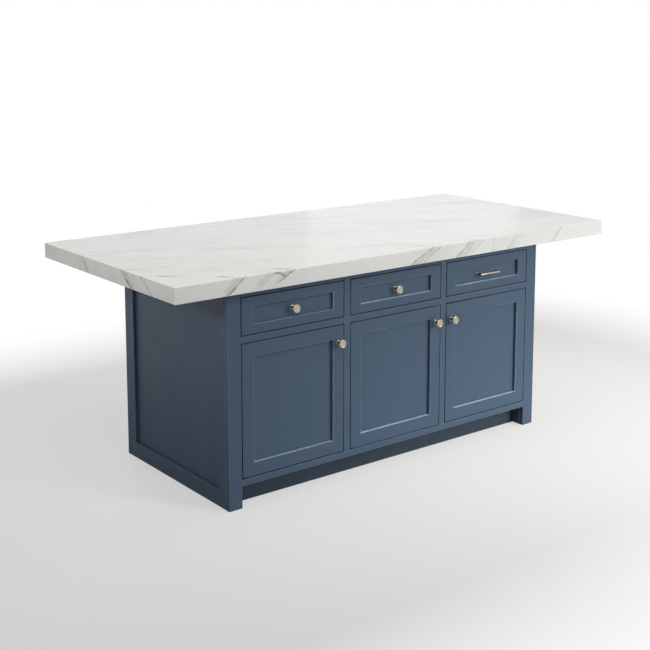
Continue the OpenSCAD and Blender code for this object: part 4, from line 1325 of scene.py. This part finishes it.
class ISLAND_OT_stage(bpy.types.Operator):
    """Pale floor, white surroundings, soft lights and the camera"""

    bl_idname = "island.stage"
    bl_label = "Stage"

    def execute(self, context):
        settings = context.scene.island_stage
        self.floor(settings)
        self.world(settings)
        for name, (setting, *fittings) in SOFTBOXES.items():
            soft_box(name, getattr(settings, setting), *fittings)
        self.camera(settings)
        context.scene.view_settings.view_transform = "Standard"
        return {"FINISHED"}

    def floor(self, settings):
        """A floor that takes the shadow near the island and runs out to pure white."""
        bm = bmesh.new()
        bmesh.ops.create_grid(bm, x_segments=24, y_segments=24, size=FLOOR_HALF_SIZE)
        mesh = bpy.data.meshes.new("floor")
        bm.to_mesh(mesh)
        bm.free()
        floor = linked("floor", mesh)
        floor.location.z = -FLOOR_DROP
        material, w, shader = new_finish("pale_floor")
        place = w.here()
        path = w.outputs("ShaderNodeLightPath")
        pale = w.mixed(w.noise(place, 260.0, 2.0, 0.6), settings.floor, darker(settings.floor, 0.95))
        # The floor throws less light up at the island than the camera sees on it
        w.feed(shader.inputs["Base Color"], w.mixed(path["Is Diffuse Ray"] * 0.6, pale, (0, 0, 0)))
        shader.inputs["Roughness"].default_value = 0.75
        shader.inputs["Specular IOR Level"].default_value = 0.2
        half_length, half_depth, _ = CAD_BOX[1]
        beyond = w.vector("SUBTRACT", w.vector("ABSOLUTE", place), (half_length, half_depth, 0.0))
        far = w.ranged(w.vector("LENGTH", w.vector("MAXIMUM", beyond, ORIGIN)), *SHADOW_FADES)
        # For the camera the shadow is a little lighter than the lamps leave it
        far = w.maths("MAXIMUM", far, path["Is Camera Ray"] * 0.45)
        glow = w.out("ShaderNodeEmission", {"Color": (1, 1, 1, 1), "Strength": 1.0})
        both = w.out("ShaderNodeMixShader", {
            0: far * white_rays(w, path), 1: Signal(w, shader.outputs[0]), 2: glow})
        w.feed(material.node_tree.nodes["Material Output"].inputs["Surface"], both)
        mesh.materials.append(material)

    def world(self, settings):
        """White for the camera and for reflections, and a soft light from all round."""
        world = bpy.context.scene.world or bpy.data.worlds.new("studio")
        bpy.context.scene.world = world
        world.use_nodes = True
        world.node_tree.nodes.clear()
        w = Wiring(world.node_tree)
        seen = white_rays(w, w.outputs("ShaderNodeLightPath"))
        sky = w.out("ShaderNodeBackground", {
            "Color": w.mixed(seen, (1.0, 0.99, 0.97), (1.0, 1.0, 1.0)),
            "Strength": seen * (1.0 - settings.ambient) + settings.ambient})
        w.node("ShaderNodeOutputWorld", {"Surface": sky})

    def camera(self, settings):
        """The camera of the photograph's view."""
        data = bpy.data.cameras.new("camera")
        data.sensor_width = 36.0
        data.lens = settings.lens
        data.shift_y = CAMERA_SHIFT
        data.clip_end = 100.0
        camera = linked("camera", data)
        camera.location = CAMERA_PLACE
        camera.rotation_euler = (math.pi / 2 - CAMERA_DOWN, 0.0, CAMERA_HEADING)
        bpy.context.scene.camera = camera


OPERATORS = (
    ISLAND_OT_worktop, ISLAND_OT_face_frame, ISLAND_OT_end_and_back_frames, ISLAND_OT_doors,
    ISLAND_OT_drawer_fronts, ISLAND_OT_drawer_boxes, ISLAND_OT_carcasses, ISLAND_OT_hardware,
    ISLAND_OT_handles, ISLAND_OT_screws, ISLAND_OT_stage)


class ISLAND_PT_finishes(bpy.types.Panel):
    """Settings and steps of the kitchen island"""

    bl_idname = "ISLAND_PT_finishes"
    bl_label = "Kitchen Island"
    bl_space_type = "VIEW_3D"
    bl_region_type = "UI"
    bl_category = "Island"

    def draw(self, context):
        layout = self.layout
        for operator in OPERATORS:
            layout.operator(operator.bl_idname)
        for name, group in GROUPS.items():
            box = layout.box()
            box.label(text=group.__doc__)
            for prop in group.__annotations__:
                box.prop(getattr(context.scene, name), prop)


CLASSES = (*GROUPS.values(), *OPERATORS, ISLAND_PT_finishes)


def register():
    for cls in CLASSES:
        bpy.utils.register_class(cls)
    for name, group in GROUPS.items():
        setattr(bpy.types.Scene, name, PointerProperty(type=group))


def unregister():
    for name in GROUPS:
        delattr(bpy.types.Scene, name)
    for cls in reversed(CLASSES):
        bpy.utils.unregister_class(cls)


def main():
    """Dresses the part step by step."""
    register()
    for operator in OPERATORS:
        group, name = operator.bl_idname.split(".")
        getattr(getattr(bpy.ops, group), name)()


if __name__ == "__main__":
    main()
